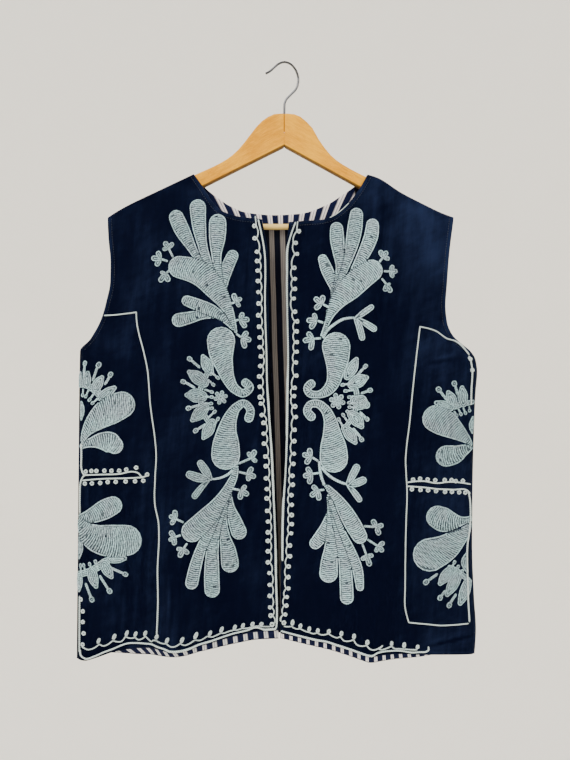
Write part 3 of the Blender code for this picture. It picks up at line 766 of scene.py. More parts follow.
SHADED_NAVY = (0.0028, 0.0036, 0.0130)
LIT_NAVY = (0.0026, 0.0050, 0.0310)
HEM_NAVY = (0.0020, 0.0042, 0.0250)
HEM_LINE = (0.110, 0.110, 0.140)
# the lining's and the back hem strip's stripes are kept dark: painted shade on cloth that hangs inside the
# garment
COTTONS = (
    StripedCotton("shaded_lining_stripe", 0.0155, 0.46, (0.300, 0.265, 0.245), (0.105, 0.100, 0.105),
                  SHADED_NAVY, lines=3.0),
    StripedCotton("facing_stripe", 0.0156, 0.46, (0.860, 0.790, 0.780), (0.150, 0.140, 0.170), LIT_NAVY),
    StripedCotton("shaded_back_hem_stripe", 0.0141, 0.42, (0.430, 0.410, 0.400), HEM_LINE, SHADED_NAVY),
    StripedCotton("hem_stripe_left", 0.0147, 0.42, (0.620, 0.610, 0.600), HEM_LINE, HEM_NAVY, hem=True),
    StripedCotton("hem_stripe_right", 0.0124, 0.38, (0.860, 0.820, 0.820), HEM_LINE, HEM_NAVY, hem=True))


@dataclass(frozen=True)
class Wood:
    """Varnished wood with its grain along one direction."""
    name: str
    early: Triple
    late: Triple
    turned: Triple
    coat: float = 0.03
    scale: Triple = (38.0, 260.0, 300.0)
    fall: float = 0.0      # slope of the arm's lower edge, along which a band of painted shade stands for the shaded underside

    def material(self) -> bpy.types.Material:
        """Long grain, finer pores, a low sheen and, where fall is set, painted shade along the lower edge."""
        graph = Graph(self.name)
        along = graph.place(self.scale, self.turned)
        grain = graph.noise(along, 1.0, 4.0, 0.60)
        fine = graph.noise(along, 4.2, 3.0, 0.65)
        blotch = graph.noise(graph.place(), 16.0, 2.0, 0.5)
        tone = (grain * 0.34 + fine * 0.36 + blotch * 0.38).rise(0.40, 0.68)
        colour = graph.colour(tone, self.early, self.late)
        pores = graph.noise(along, 8.0, 2.0, 0.6).rise(0.62, 0.78)
        colour = graph.colour(pores * 0.35, colour, tuple(part * 0.45 for part in self.late))
        if self.fall:
            x, _, z = graph.axes(graph.place())
            above = z + WOOD_LOW + x.absolute() * self.fall
            # painted shade: a dark band along the arm's lower edge
            shade = 1.0 - above.rise(0.0022, 0.0040)
            colour = graph.colour(shade * 0.88, colour, (0.050, 0.030, 0.014))
        normal = graph.bump(fine * 0.4 + grain * 0.5, 0.00025, 0.5)
        return graph.finish(Base_Color=colour, Roughness=0.55 + fine * 0.16, Normal=normal,
                            Coat_Weight=self.coat, Coat_Roughness=0.30, Specular_IOR_Level=0.05)


@dataclass(frozen=True)
class Chrome:
    """Plated steel wire, faintly brushed."""
    name: str = "chrome"

    def material(self) -> bpy.types.Material:
        """Metal whose colour is kept dark as painted reflection of dim surroundings, with a little handling
        dullness.
        """
        graph = Graph(self.name)
        dull = graph.noise(graph.place(), 220.0, 3.0, 0.6)
        draw = graph.noise(graph.place((900.0, 900.0, 60.0)), 1.0, 2.0, 0.6)
        # painted reflection: the metal's colour kept dark for the dim surroundings it mirrors
        colour = graph.colour(dull, (0.100, 0.100, 0.106), (0.040, 0.040, 0.044))
        return graph.finish(Base_Color=colour, Metallic=1.0, Roughness=0.12 + dull * 0.16,
                            Normal=graph.bump(draw, 0.00008, 0.4))


@dataclass(frozen=True)
class Plaster:
    """Pale backdrop."""
    name: str = "backdrop"
    tone: Triple = (0.975, 0.940, 0.865)

    def material(self) -> bpy.types.Material:
        """Nearly even pale colour."""
        graph = Graph(self.name)
        mottle = graph.noise(graph.place(), 6.0, 3.0, 0.6)
        colour = graph.colour(mottle, self.tone, tuple(part * 0.97 for part in self.tone))
        return graph.finish(Base_Color=colour, Roughness=0.9, Specular_IOR_Level=0.1)


# ---------------------------------------------------------------- meshes
def piece(name: str, points: Array, faces: Array, uv: Array, finishes: Sequence[bpy.types.Material],
          slots: Array | None = None, tone: Array | None = None) -> bpy.types.Object:
    """Make one mesh object.

    Args:
        name: the object's name.
        points: n by 3 places in metres.
        faces: m by 4 vertex numbers.
        uv: n by 2 map values, one for each point.
        finishes: its materials.
        slots: which finish each face takes.
        tone: a value at each point: a brightness carrying painted light and shade on thread and velvet, or a
            hem strip's height share.
    Returns:
        The linked object, smooth shaded.
    """
    mesh = bpy.data.meshes.new(name)
    count = len(faces)
    mesh.vertices.add(len(points))
    mesh.vertices.foreach_set("co", np.ascontiguousarray(points, np.float32).ravel())
    mesh.loops.add(count * 4)
    mesh.loops.foreach_set("vertex_index", np.ascontiguousarray(faces, np.int32).ravel())
    mesh.polygons.add(count)
    mesh.polygons.foreach_set("loop_start", np.arange(0, count * 4, 4, dtype=np.int32))
    if slots is not None:
        mesh.polygons.foreach_set("material_index", np.ascontiguousarray(slots, np.int32))
    layer = mesh.uv_layers.new(name="weave")
    layer.data.foreach_set("uv", np.ascontiguousarray(uv[faces.ravel()], np.float32).ravel())
    if tone is not None:
        shade = mesh.attributes.new("tone", "FLOAT", "POINT")
        shade.data.foreach_set("value", np.ascontiguousarray(tone, np.float32))
    mesh.update(calc_edges=True)
    mesh.validate()
    mesh.shade_smooth()
    for finish in finishes:
        mesh.materials.append(finish)
    obj = bpy.data.objects.new(name, mesh)
    bpy.context.scene.collection.objects.link(obj)
    return obj


def grid_faces(rows: int, columns: int, first: int = 0) -> Array:
    """Quads of a grid of points, rows by columns."""
    index = np.arange(rows * columns).reshape(rows, columns) + first
    quads = np.stack([index[:-1, :-1], index[:-1, 1:], index[1:, 1:], index[1:, :-1]], axis=-1)
    return quads.reshape(-1, 4)


@dataclass(frozen=True)
class Shell:
    """A closed wall of cloth: outer face, inner face moved in by the thickness, and the rims."""
    name: str
    outer: Array
    uv: Array
    thickness: float
    facing: int                # y sense of the outer face
    tone: Array | None = None

    def normals(self) -> Array:
        """Unit normals of the outer face: cross product of the grid's two tangents."""
        across = np.gradient(self.outer, axis=1)
        down = np.gradient(self.outer, axis=0)
        normal = np.cross(across, down)
        flip = np.sign(np.median(normal[..., 1])) * self.facing
        normal = normal * flip
        return normal / np.maximum(np.linalg.norm(normal, axis=-1, keepdims=True), 1e-12)

    def build(self, finishes: Sequence[bpy.types.Material]) -> bpy.types.Object:
        """Join outer face, inner face and rims into one closed mesh.

        Args:
            finishes: material of the outer face and rims, then that of the inner face.
        Returns:
            The wall's object.
        """
        rows, columns = self.outer.shape[:2]
        inner = self.outer - self.normals() * self.thickness
        points = np.concatenate([self.outer.reshape(-1, 3), inner.reshape(-1, 3)])
        size = rows * columns
        front = grid_faces(rows, columns)
        back = grid_faces(rows, columns, size)[:, ::-1]
        index = np.arange(size).reshape(rows, columns)
        loop = np.concatenate([index[0], index[1:, -1], index[-1, -2::-1], index[-2:0:-1, 0]])
        following = np.roll(loop, -1)
        rim = np.stack([following, loop, loop + size, following + size], axis=-1)
        faces = np.concatenate([front, back, rim])
        corner = points[front[len(front) // 2]]
        sense = np.cross(corner[2] - corner[0], corner[3] - corner[1])[1] * self.facing
        if sense < 0:
            faces = faces[:, ::-1]
        slots = np.zeros(len(faces), int)
        if len(finishes) > 1:
            slots[len(front):len(front) + len(back)] = 1
        uv = np.concatenate([self.uv.reshape(-1, 2), self.uv.reshape(-1, 2)])
        tone = None if self.tone is None else np.tile(self.tone.reshape(-1), 2)
        return piece(self.name, points, faces, uv, finishes, slots, tone)


def painted_border_light(away: Array) -> Array:
    """Painted highlight on the turned border: 1 from the edge to its stitch line 5.5 mm in, and painted shade
    just below 0 on the line.
    """
    return 1 - step(away, 0.0042, 0.0058) - 0.7 * np.exp(-((away - 0.0060) / 0.0009) ** 2)


# grids of the cloth: face size, even rows, and the crowded places by the distance from each edge
PITCH = 0.0032
FRONT_ROWS = 204
BACK_ROWS = 196
NEAR: Places = (0.0, 0.00012, 0.00045, 0.0010, 0.0017, 0.0026, 0.0042, 0.0060, 0.0072)
AT_SIDE: Places = (0.0, 0.0001, 0.0004, 0.0009, 0.0016, 0.0025, 0.0036, 0.0048, 0.0062, 0.0085)
NECK_CORNER: Places = (0.0, 0.0004, 0.0010, 0.0018, 0.0030)
SEAM_START: Places = (0.0, 0.0015, 0.0030)


def drops(long: Array, rows: int) -> Array:
    """Distances down each column, crowded at the top edge and at the hem and even between them."""
    near, far = np.array(NEAR), np.array(NEAR[:7])
    body = np.linspace(0.0, 1.0, rows)[:, None] * (long - near[-1] - far[-1]) + near[-1]
    return np.concatenate([near[:-1, None] + 0 * long, body, long - far[:-1][::-1, None]])


def below_top(x: Array, top_x: Array, drop: Array) -> Array:
    """Columns that start at the top edge's own places: the share of those is e^(-drop / 4 mm)."""
    blend = np.exp(-drop / TOP_EASE)
    return x * (1 - blend) + top_x * blend


def sewn(x: Array, corner: float) -> Array:
    """How far each place is on the shoulder seam, which starts at the neck's corner."""
    return step(x, corner - 0.0018, corner - 0.0002)


def edged(depth: Array, on_seam: Array, below: Array, above: Array) -> Array:
    """Depth rounded at the top edge, down to the seam plane where it is sewn, and at the hem.

    Args:
        depth: the wall's own depth.
        on_seam: how far each place is on a shoulder seam.
        below: distance below the top edge, square to it.
        above: distance above the hem.
    Returns:
        The rounded depth.
    """
    rim = (depth - EDGE_TURN) * (1 - on_seam) + SEAM * on_seam
    rim = np.minimum(rim, np.maximum(depth - 0.0001, SEAM))
    depth = nosed(depth, rim, turn(below, EDGE_TURN))
    return nosed(depth, depth - HEM_TURN, turn(above, HEM_TURN))


@dataclass(frozen=True)
class Front:
    """One velvet front, open at the middle, with its turned edges."""
    half: Half

    def columns(self) -> tuple[Array, Array, Array]:
        """Column places at the top edge: x, share of the width, and how far each is on the seam."""
        half = self.half
        inner, tip_x = half.front_edge[0][1], half.tip[0]
        before = spread(inner, half.neck_x, NEAR[:6], NECK_CORNER, PITCH)
        after = spread(half.neck_x, tip_x, SEAM_START, AT_SIDE, PITCH)
        top_x = np.concatenate([before, after[1:]])
        return top_x, (top_x - inner) / (tip_x - inner), sewn(top_x, half.neck_x)

    def grid(self) -> tuple[Array, Array, Array]:
        """Outer face, its map and its tone: painted highlight along the turned edges and painted streaks of
        light and shade.

        x = front edge (1 - a) + side a at each height; z falls from the top edge to the hem. The
        depth is the front's own, rounded down to the rim at each of the four edges.
        """
        half = self.half
        top_x, across, on_seam = self.columns()
        top_z = np.where(top_x >= half.neck_x - 1e-6, shoulder_line(half, top_x), read(half.neck, top_x))
        hem_edge = float(read(half.front_edge, -0.805))
        hem_z = read(half.hem, hem_edge + (side_x(half, -0.845) - hem_edge) * across)
        long = (top_z - hem_z)[None, :]
        drop = drops(long, FRONT_ROWS)
        z = top_z - drop
        x = read(half.front_edge, z) * (1 - across) + side_x(half, z) * across
        x = below_top(x, top_x, drop)
        steep = 1 / np.sqrt(1 + np.gradient(top_z, top_x) ** 2)
        depth = edged(front_surface(half, x, z), on_seam, drop * steep, long - drop)
        away = x - read(half.front_edge, z)
        depth = nosed(depth, depth - HEM_TURN, turn(away, HEM_TURN))
        points = np.stack([half.sign * x, -np.maximum(depth, SEAM), z], axis=-1)
        arm = np.where(z > UNDERARM_Z, side_x(half, z) - x, 1.0)
        at_neck = np.where(on_seam < 0.5, drop * steep, 1.0)
        # painted highlight along the turned edges and, weaker, the hem; painted shade on the stitch line
        tone = np.maximum(painted_border_light(np.minimum(arm, at_neck)), painted_border_light(long - drop) * 0.3)
        # painted streaks of light and shade along the creases and over patches of sheen
        tone = tone + soft_pleats(half.painted_streaks, x, z)
        return points, np.stack([half.sign * x - 0.06 * z, z], axis=-1), tone

    def build(self, velvet: bpy.types.Material, stripe: bpy.types.Material) -> bpy.types.Object:
        """The front's closed wall, lined inside.

        Args:
            velvet: finish of the outer face.
            stripe: finish of the inner face.
        Returns:
            The wall.
        """
        outer, uv, tone = self.grid()
        side = self.half.side
        wall = Shell(f"velvet_front_{side}", outer, uv, SHELL, -1, tone).build([velvet, stripe])
        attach(wall, "root")
        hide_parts(f"front_{side}")
        return wall


@dataclass(frozen=True)
class Back:
    """The velvet back with its striped lining, neck facing and hem strip."""

    def top(self) -> tuple[Array, Array, Array]:
        """Top edge: x, z, and how far each place is on a shoulder seam."""
        left = spread(-LEFT.tip[0], -LEFT.neck_x, AT_SIDE, SEAM_START, PITCH)
        neck = spread(-LEFT.neck_x, RIGHT.neck_x, NECK_CORNER, NECK_CORNER, PITCH)
        right = spread(RIGHT.neck_x, RIGHT.tip[0], SEAM_START, AT_SIDE, PITCH)
        x = np.concatenate([left[:-1], neck, right[1:]])
        z = np.where(x <= -LEFT.neck_x + 1e-6, shoulder_line(LEFT, -x), read(BACK_NECK, x))
        z = np.where(x >= RIGHT.neck_x - 1e-6, shoulder_line(RIGHT, x), z)
        return x, z, np.maximum(sewn(-x, LEFT.neck_x), sewn(x, RIGHT.neck_x))

    @staticmethod
    def hem(share: Array) -> Array:
        """Height of the hem at each place across."""
        left, right = BACK_HEM[0][0], BACK_HEM[-1][0]
        return read(BACK_HEM, left + (right - left) * share)

    def sheet(self, share: Array, drop: Array, behind: float) -> tuple[Array, Array, Array]:
        """Points of a layer of the back.

        Args:
            share: places across, 0 at the left side and 1 at the right one.
            drop: places down, 0 at the top edge and 1 at the hem.
            behind: how far inside the velvet's outer face the layer lies.
        Returns:
            x, depth and z of each point.
        """
        top_x, top_z, _ = self.top()
        all_share = (top_x - top_x[0]) / (top_x[-1] - top_x[0])
        column_x = np.interp(share, all_share, top_x)
        column_z = np.interp(share, all_share, top_z)
        z = column_z - (column_z - self.hem(share)) * drop
        x = -side_x(LEFT, z) * (1 - share) + side_x(RIGHT, z) * share
        x = below_top(x, column_x, column_z - z)
        return x, back_depth_all(x, z) - behind, z

    def lengths(self, share: Array) -> tuple[Array, Array]:
        """Where each column starts, and how far it falls to the hem."""
        x, _, top = self.sheet(share, np.array([[0.0]]), 0.0)
        _, _, hem = self.sheet(share, np.array([[1.0]]), 0.0)
        return x, top - hem

    def velvet_wall(self, velvet: bpy.types.Material, stripe: bpy.types.Material) -> bpy.types.Object:
        """The closed velvet wall.

        Args:
            velvet: finish of the outer face.
            stripe: finish of the inner face.
        Returns:
            The wall.
        """
        top_x, top_z, seam = self.top()
        share = (top_x - top_x[0]) / (top_x[-1] - top_x[0])
        long = (top_z - self.hem(share))[None, :]
        drop = drops(long, BACK_ROWS)
        z = top_z - drop
        x = -side_x(LEFT, z) * (1 - share) + side_x(RIGHT, z) * share
        x = below_top(x, top_x, drop)
        steep = 1 / np.sqrt(1 + np.gradient(top_z, top_x) ** 2)
        depth = edged(back_surface(x, z), seam, drop * steep, long - drop)
        points = np.stack([x, np.maximum(depth, SEAM), z], axis=-1)
        arm = np.where(x < 0, side_x(LEFT, z) + x, side_x(RIGHT, z) - x)
        arm = np.where(z > UNDERARM_Z, arm, 1.0)
        # painted highlight along the turned edges and painted shade on the stitch line
        tone = painted_border_light(np.minimum(arm, np.where(seam < 0.5, drop * steep, 1.0)))
        # painted streaks of light and shade, mirrored from the fronts
        tone = tone + 0.7 * (soft_pleats(LEFT.painted_streaks, -x, z) + soft_pleats(RIGHT.painted_streaks, x, z))
        wall = Shell("velvet_back", points, points[..., ::2], SHELL, 1, tone).build([velvet, stripe])
        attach(wall, "root")
        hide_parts("back_panel")
        return wall

    def lining(self, stripe: bpy.types.Material) -> bpy.types.Object:
        """Striped lining between the neck facing and the hem strip.

        Args:
            stripe: its finish.
        Returns:
            The lining.
        """
        share = np.linspace(*INNER_SPAN, 150)[None, :]
        x, long = self.lengths(share)
        start = (facing_depth(x) + GAP) / long
        end = 1 - (BACK_BAND_RISE + GAP) / long
        drop = start + (end - start) * np.linspace(0.0, 1.0, 190)[:, None]
        x, depth, z = self.sheet(share, drop, VELVET + GAP)
        points = np.stack([x, depth, z], axis=-1)
        uv = np.stack([x + STRIPE_LEAN * z + 0.0137, z], axis=-1)
        wall = Shell("striped_lining", points, uv, LINING, 1).build([stripe])
        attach(wall, "root")
        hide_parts("back_lining")
        return wall

    def strip(self, name: str, node: str, share: Array, rows: Array, behind: float,
              fan: float, stripe: bpy.types.Material) -> bpy.types.Object:
        """A striped strip inside the neck or the hem.

        Args:
            name: the piece's name.
            node: the solid that it stands for.
            share: places across the back.
            rows: places down, in metres below the top edge, or above the hem where negative; for
                the facing, shares of its own width.
            behind: distance inside the velvet's outer face.
            fan: height at which its stripes, opening upwards, would meet, in metres below; 0 for none.
            stripe: its finish.
        Returns:
            The strip.
        """
        share = share[None, :]
        column_x, long = self.lengths(share)
        rows = rows[:, None] * (facing_depth(column_x) if fan else 1.0 + 0 * column_x)
        drop = np.where(rows >= 0, rows, long + rows) / long
        x, depth, z = self.sheet(share, drop, behind)
        points = np.stack([x, depth, z], axis=-1)
        open_by = 1 + (z - NECK_LOW) / fan if fan else 1.0 + 0 * z
        uv = np.stack([x / open_by + (0.0098 if fan else 0.0028), z], axis=-1)
        wall = Shell(name, points, uv, LINING, 1).build([stripe])
        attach(wall, "root")
        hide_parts(node)
        height = float(np.abs(rows[-1] - rows[0]).mean())
        return wall


@dataclass(frozen=True)
class FrontHemStrip:
    """Striped strip inside a front's hem, hanging out below the velvet."""
    front: Front
    lean: float

    def build(self, stripe: bpy.types.Material) -> bpy.types.Object:
        """The strip follows the front's inner face and drops to its own edge.

        Args:
            stripe: its finish.
        Returns:
            The strip.
        """
        half = self.front.half
        side = half.side
        first, last = half.peek[0][0] + 0.0002, half.peek[-1][0] - 0.004
        x = np.linspace(first, last, 110)[None, :]
        hem = read(half.hem, x)
        low = hem - read(half.peek, x)
        t = np.linspace(0.0, 1.0, 9)[:, None]
        z = (hem + HEM_BAND_RISE) * (1 - t) + low * t
        depth = front_depth(half, x, np.maximum(z, hem)) - VELVET - GAP
        points = np.stack([half.sign * x + 0 * z, -depth, z], axis=-1)
        run = np.cumsum(np.linalg.norm(np.diff(points[-1:], axis=1, prepend=points[-1:, :1]), axis=-1))
        lean = self.lean * (LEAN_SHARE + step(x, 0.110, 0.180))
        uv = np.stack([run[None, :] + lean * (z - hem), z], axis=-1)
        share = np.clip((z - low) / (hem - low), 0.0, 1.0)
        wall = Shell(f"hem_strip_{side}", points, uv, LINING, -1, share).build([stripe])
        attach(wall, "root")
        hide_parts(f"hem_band_{side}")
        return wall


# ---------------------------------------------------------------- stitch geometry (millimetres)
ROW = 2.85                 # spacing of neighbouring rows
STITCH = 2.9               # one chain link
SAMPLE = 1.05              # spacing of a row's points
BORDER = 2.5               # width that the outline row takes
CORD_PITCH = 1.5           # spacing of a cord's points
HEM_CLEAR = 1.5            # least height of the edge cords over the hem, and of the loops over them
THICK_CORD = 1.30          # half widths of the couched cords, thickest first
SIDE_CORD = 1.20
FRAME_CORD = 1.06
THIN_CORD = 1.05
ROW_HALF = 1.20            # mean half widths: of a crosswise row, an outline row and a ring
OUTLINE_HALF = 1.24
RING_HALF = 1.18
WANDER = 0.26              # how far a crosswise row wanders along its form
UNEVEN = 0.16              # how much the rows' spacing varies
RUN_ON = 1.7               # how far crosswise rows run on where another form joins
BREAK = 1.7                # half of the gap in a row that is worked in two parts
BREAK_OVER = 0.91          # scatter above which a wide row has such a gap


class Fill(Enum):
    """How a worked form is filled."""
    ACROSS = "rows across the form inside one outline row"
    RINGS = "rows that follow the outline inwards"
    LINE = "one row down the middle"


def flow(points: Array, pitch: float) -> Array:
    """Smooth curve through points, with a place every pitch.

    Cubic Hermite pieces on the chord length; each tangent is the mean of the two neighbouring
    slopes, each weighted by the other chord.

    Args:
        points: n by k places.
        pitch: spacing along the curve.
    Returns:
        m by k places.
    """
    p = np.asarray(points, float)
    if len(p) == 2:
        count = max(int(round(np.linalg.norm(p[1, :2] - p[0, :2]) / pitch)), 1)
        return p[0] + (p[1] - p[0]) * np.linspace(0, 1, count + 1)[:, None]
    chord = np.maximum(np.linalg.norm(np.diff(p[:, :2], axis=0), axis=1), 1e-6)
    slope = np.diff(p, axis=0) / chord[:, None]
    inner = (slope[:-1] * chord[1:, None] + slope[1:] * chord[:-1, None])
    inner = inner / (chord[1:] + chord[:-1])[:, None]
    tangent = np.concatenate([1.5 * slope[:1] - 0.5 * inner[:1], inner,
                              1.5 * slope[-1:] - 0.5 * inner[-1:]])
    knots = np.concatenate([[0.0], np.cumsum(chord)])
    fine = np.linspace(0.0, knots[-1], max(int(knots[-1] / 0.25), 8))
    i = np.clip(np.searchsorted(knots, fine, side="right") - 1, 0, len(chord) - 1)
    h = chord[i][:, None]
    t = (fine - knots[i])[:, None] / h
    curve = ((2 * t**3 - 3 * t**2 + 1) * p[i] + (t**3 - 2 * t**2 + t) * h * tangent[i]
             + (3 * t**2 - 2 * t**3) * p[i + 1] + (t**3 - t**2) * h * tangent[i + 1])
    return resample(curve, pitch)


def resample(curve: Array, pitch: float) -> Array:
    """Evenly spaced places along a polyline."""
    run = np.concatenate([[0.0], np.cumsum(np.linalg.norm(np.diff(curve[:, :2], axis=0), axis=1))])
    at = np.linspace(0.0, run[-1], max(int(round(run[-1] / pitch)), 1) + 1)
    return np.stack([np.interp(at, run, column) for column in curve.T], axis=-1)


def flow_cornered(points: Array, pitch: float) -> Array:
    """A polyline that keeps its sharp corners and is smooth between them."""
    way = np.diff(points, axis=0)
    way = way / np.linalg.norm(way, axis=1, keepdims=True)
    sharp = np.flatnonzero((way[:-1] * way[1:]).sum(axis=1) < 0.55) + 1
    cuts = [0, *sharp.tolist(), len(points) - 1]
    runs = [flow(points[a:b + 1], pitch) for a, b in zip(cuts[:-1], cuts[1:])]
    return np.concatenate([runs[0]] + [run[1:] for run in runs[1:]])


def across_of(points: Array) -> Array:
    """Unit normals in the plane, to the left of the way along the points."""
    along = np.gradient(points[:, :2], axis=0)
    along = along / np.maximum(np.linalg.norm(along, axis=1, keepdims=True), 1e-9)
    return np.stack([-along[:, 1], along[:, 0]], axis=-1)


def scatter(seed: Array | float) -> Array | float:
    """Even spread of -1 to 1 from whole seeds: the fraction of a large sine."""
    return 2 * np.modf(np.abs(np.sin(np.asarray(seed) * 12.9898 + 4.1) * 43758.5453))[0] - 1


@dataclass(frozen=True)
class Form:
    """One worked form: a spine with a half width at each place, round at both ends.

    Args:
        spine: across, down and half width at each place, from the root to the tip.
        fill: how it is filled.
        slant: lean of its crosswise rows.
        bulge: how far its crosswise rows bow towards the tip, as a share of the half width.
        tone: painted light and shade on it, as a brightness of its thread.
    """
    spine: Table
    fill: Fill = Fill.ACROSS
    slant: float = 0.0
    bulge: float = 0.22
    tone: float = 1.0

    def core(self, pitch: float = 0.5) -> Array:
        """The smooth spine."""
        curve = flow(np.array(self.spine, float), pitch)
        curve[:, 2] = np.maximum(curve[:, 2], 0.3)
        return curve

    def whole(self, pitch: float, inset: float = 0.0) -> Array:
        """The spine run on straight through both round ends, where the width is a circle's.

        Args:
            pitch: spacing of its places.
            inset: by how much it is narrower than the form.
        Returns:
            Across, down and half width at each place.
        """
        core = self.core(0.5)
        side = across_of(core)
        ends = []
        for end, sense in ((0, -1.0), (-1, 1.0)):
            radius = core[end, 2]
            out = np.linspace(0.0, radius * 0.985, 9)[1:]
            along = np.array([side[end, 1], -side[end, 0]]) * sense
            width = np.sqrt(np.maximum(radius**2 - out**2, 0.0))
            ends.append(np.column_stack([core[end, :2] + along * out[:, None], width]))
        curve = np.concatenate([ends[0][::-1], core, ends[1]])
        curve[:, 2] -= inset
        return resample(curve, pitch)

    def depth_inside(self, points: Array) -> Array:
        """How far inside the form each place is; negative outside."""
        core = self.core(1.0)
        gap = np.linalg.norm(points[:, None, :2] - core[None, :, :2], axis=-1) - core[None, :, 2]
        return -gap.min(axis=1)

    def loop(self, inset: float) -> Array:
        """Closed line at a distance inside the outline: one side, round tip, other side, round root.

        Args:
            inset: the distance.
        Returns:
            Places along it.
        """
        core = self.core(0.5)
        side = across_of(core)
        wide = core[:, 2] - inset
        keep = np.flatnonzero(wide > 0.12)
        if len(keep) < 3:
            return core[:, :2]
        core, side, wide = (part[keep[0]:keep[-1] + 1] for part in (core, side, wide))
        left = core[:, :2] + side * wide[:, None]
        right = core[:, :2] - side * wide[:, None]
        arcs = []
        for end, sense in ((-1, 1.0), (0, -1.0)):
            along = np.array([side[end, 1], -side[end, 0]])
            turn_by = np.linspace(0.0, math.pi, 9)[1:-1, None]
            arcs.append(core[end, :2] + wide[end] * sense * (side[end] * np.cos(turn_by)
                                                             + along * np.sin(turn_by)))
        loop = np.concatenate([left, arcs[0], right[::-1], arcs[1], left[:1]])
        return resample(loop, SAMPLE)


# ---------------------------------------------------------------- cloth that takes stitches
class Cloth:
    """A surface for stitches: a point for each place across and down, in millimetres."""
    sense: float = 1.0

    def face(self, across: Array, down: Array) -> Array:
        """Point of the cloth's outer face, in metres."""
        raise NotImplementedError

    def place(self, across: Array, down: Array, height: Array) -> Array:
        """Point at a height over the cloth, along its normal: the cross product of its tangents."""
        span = 0.35
        wide = self.face(across + span, down) - self.face(across - span, down)
        tall = self.face(across, down + span) - self.face(across, down - span)
        normal = np.cross(wide, tall) * self.sense
        normal /= np.maximum(np.linalg.norm(normal, axis=-1, keepdims=True), 1e-12)
        return self.face(across, down) + normal * (height * MM)[:, None]


@dataclass(frozen=True)
class FrontCloth(Cloth):
    """A front; across runs outwards from the middle."""
    half: Half

    @property
    def sense(self) -> float:
        """Which way the tangents' cross product points out."""
        return -float(self.half.sign)

    def face(self, across: Array, down: Array) -> Array:
        """Point of the front's outer face."""
        x, z = across * MM, -down * MM
        return np.stack([self.half.sign * x, -front_face(self.half, x, z), z], axis=-1)


@dataclass(frozen=True)
class BackCloth(Cloth):
    """The back; across is the signed distance from the middle."""

    def face(self, across: Array, down: Array) -> Array:
        """Point of the back's outer face."""
        x, z = across * MM, -down * MM
        return np.stack([x, back_surface(x, z), z], axis=-1)


class SideCloth(Cloth):
    """A side panel; across is the way round the cloth from the side fold, forwards if positive."""

    def __init__(self, half: Half, forwards: bool, stretch: float = 1.0) -> None:
        """Measure the way round at many heights: running sums of the chords from the fold.

        Args:
            half: the garment's half.
            forwards: whether positive places lie on the front, or mirrored on the back.
            stretch: share by which the ways are drawn out.
        """
        self.half = half
        self.forwards = forwards
        self.stretch = stretch
        self.sense = float(half.sign) * (1.0 if forwards else -1.0)
        self.heights = np.linspace(-0.870, -0.410, 116)
        self.ways = np.linspace(0.0, 140.0, 281)
        away = 0.150 * np.linspace(0.0, 1.0, 420)[:, None] ** 2
        z = self.heights[None, :]
        x = side_x(half, z) - away
        front = np.stack([x, front_surface(half, x, z)], axis=-1)
        back = np.stack([x, back_surface(half.sign * x, z)], axis=-1)
        self.tables = [self.measure(away[:, 0], line) for line in (front, back)]

    def measure(self, away: Array, line: Array) -> Array:
        """Distance from the fold for each way round, one column for each height."""
        run = np.linalg.norm(np.diff(line, axis=0, prepend=line[:1]), axis=-1).cumsum(axis=0) / MM
        columns = [np.interp(self.ways, run[:, i], away) for i in range(run.shape[1])]
        return np.stack(columns, axis=-1)

    def away(self, table: Array, way: Array, z: Array) -> Array:
        """Distance from the fold, read between the table's places.

        Args:
            table: distance from the fold by way round and height.
            way: way round from the fold.
            z: height.
        Returns:
            The distance at each place.
        """
        i = np.clip(way / (self.ways[1] - self.ways[0]), 0, len(self.ways) - 1.001)
        j = np.clip((z - self.heights[0]) / (self.heights[1] - self.heights[0]), 0,
                    len(self.heights) - 1.001)
        low_i, low_j = i.astype(int), j.astype(int)
        fi, fj = i - low_i, j - low_j
        near = table[low_i, low_j] * (1 - fj) + table[low_i, low_j + 1] * fj
        far = table[low_i + 1, low_j] * (1 - fj) + table[low_i + 1, low_j + 1] * fj
        return near * (1 - fi) + far * fi

    def face(self, across: Array, down: Array) -> Array:
        """Point of the cloth round the side."""
        z = -down * MM
        way = across * (self.stretch if self.forwards else -self.stretch)
        before, behind = (self.away(table, np.abs(way), z) for table in self.tables)
        x = side_x(self.half, z) - np.where(way > 0, before, behind)
        front = -np.maximum(front_surface(self.half, x, z), SEAM)
        back = np.maximum(back_surface(self.half.sign * x, z), SEAM)
        return np.stack([self.half.sign * x, np.where(way > 0, front, back), z], axis=-1)


def outward(points: Array, faces: Array) -> Array:
    """Turn closed ribbons' faces outwards: all of them, where their signed volume is negative."""
    a, b, c, d = (points[faces[:, corner]] for corner in range(4))
    volume = (a * (np.cross(b, c) + np.cross(c, d))).sum()
    return faces if volume > 0 else faces[:, ::-1]


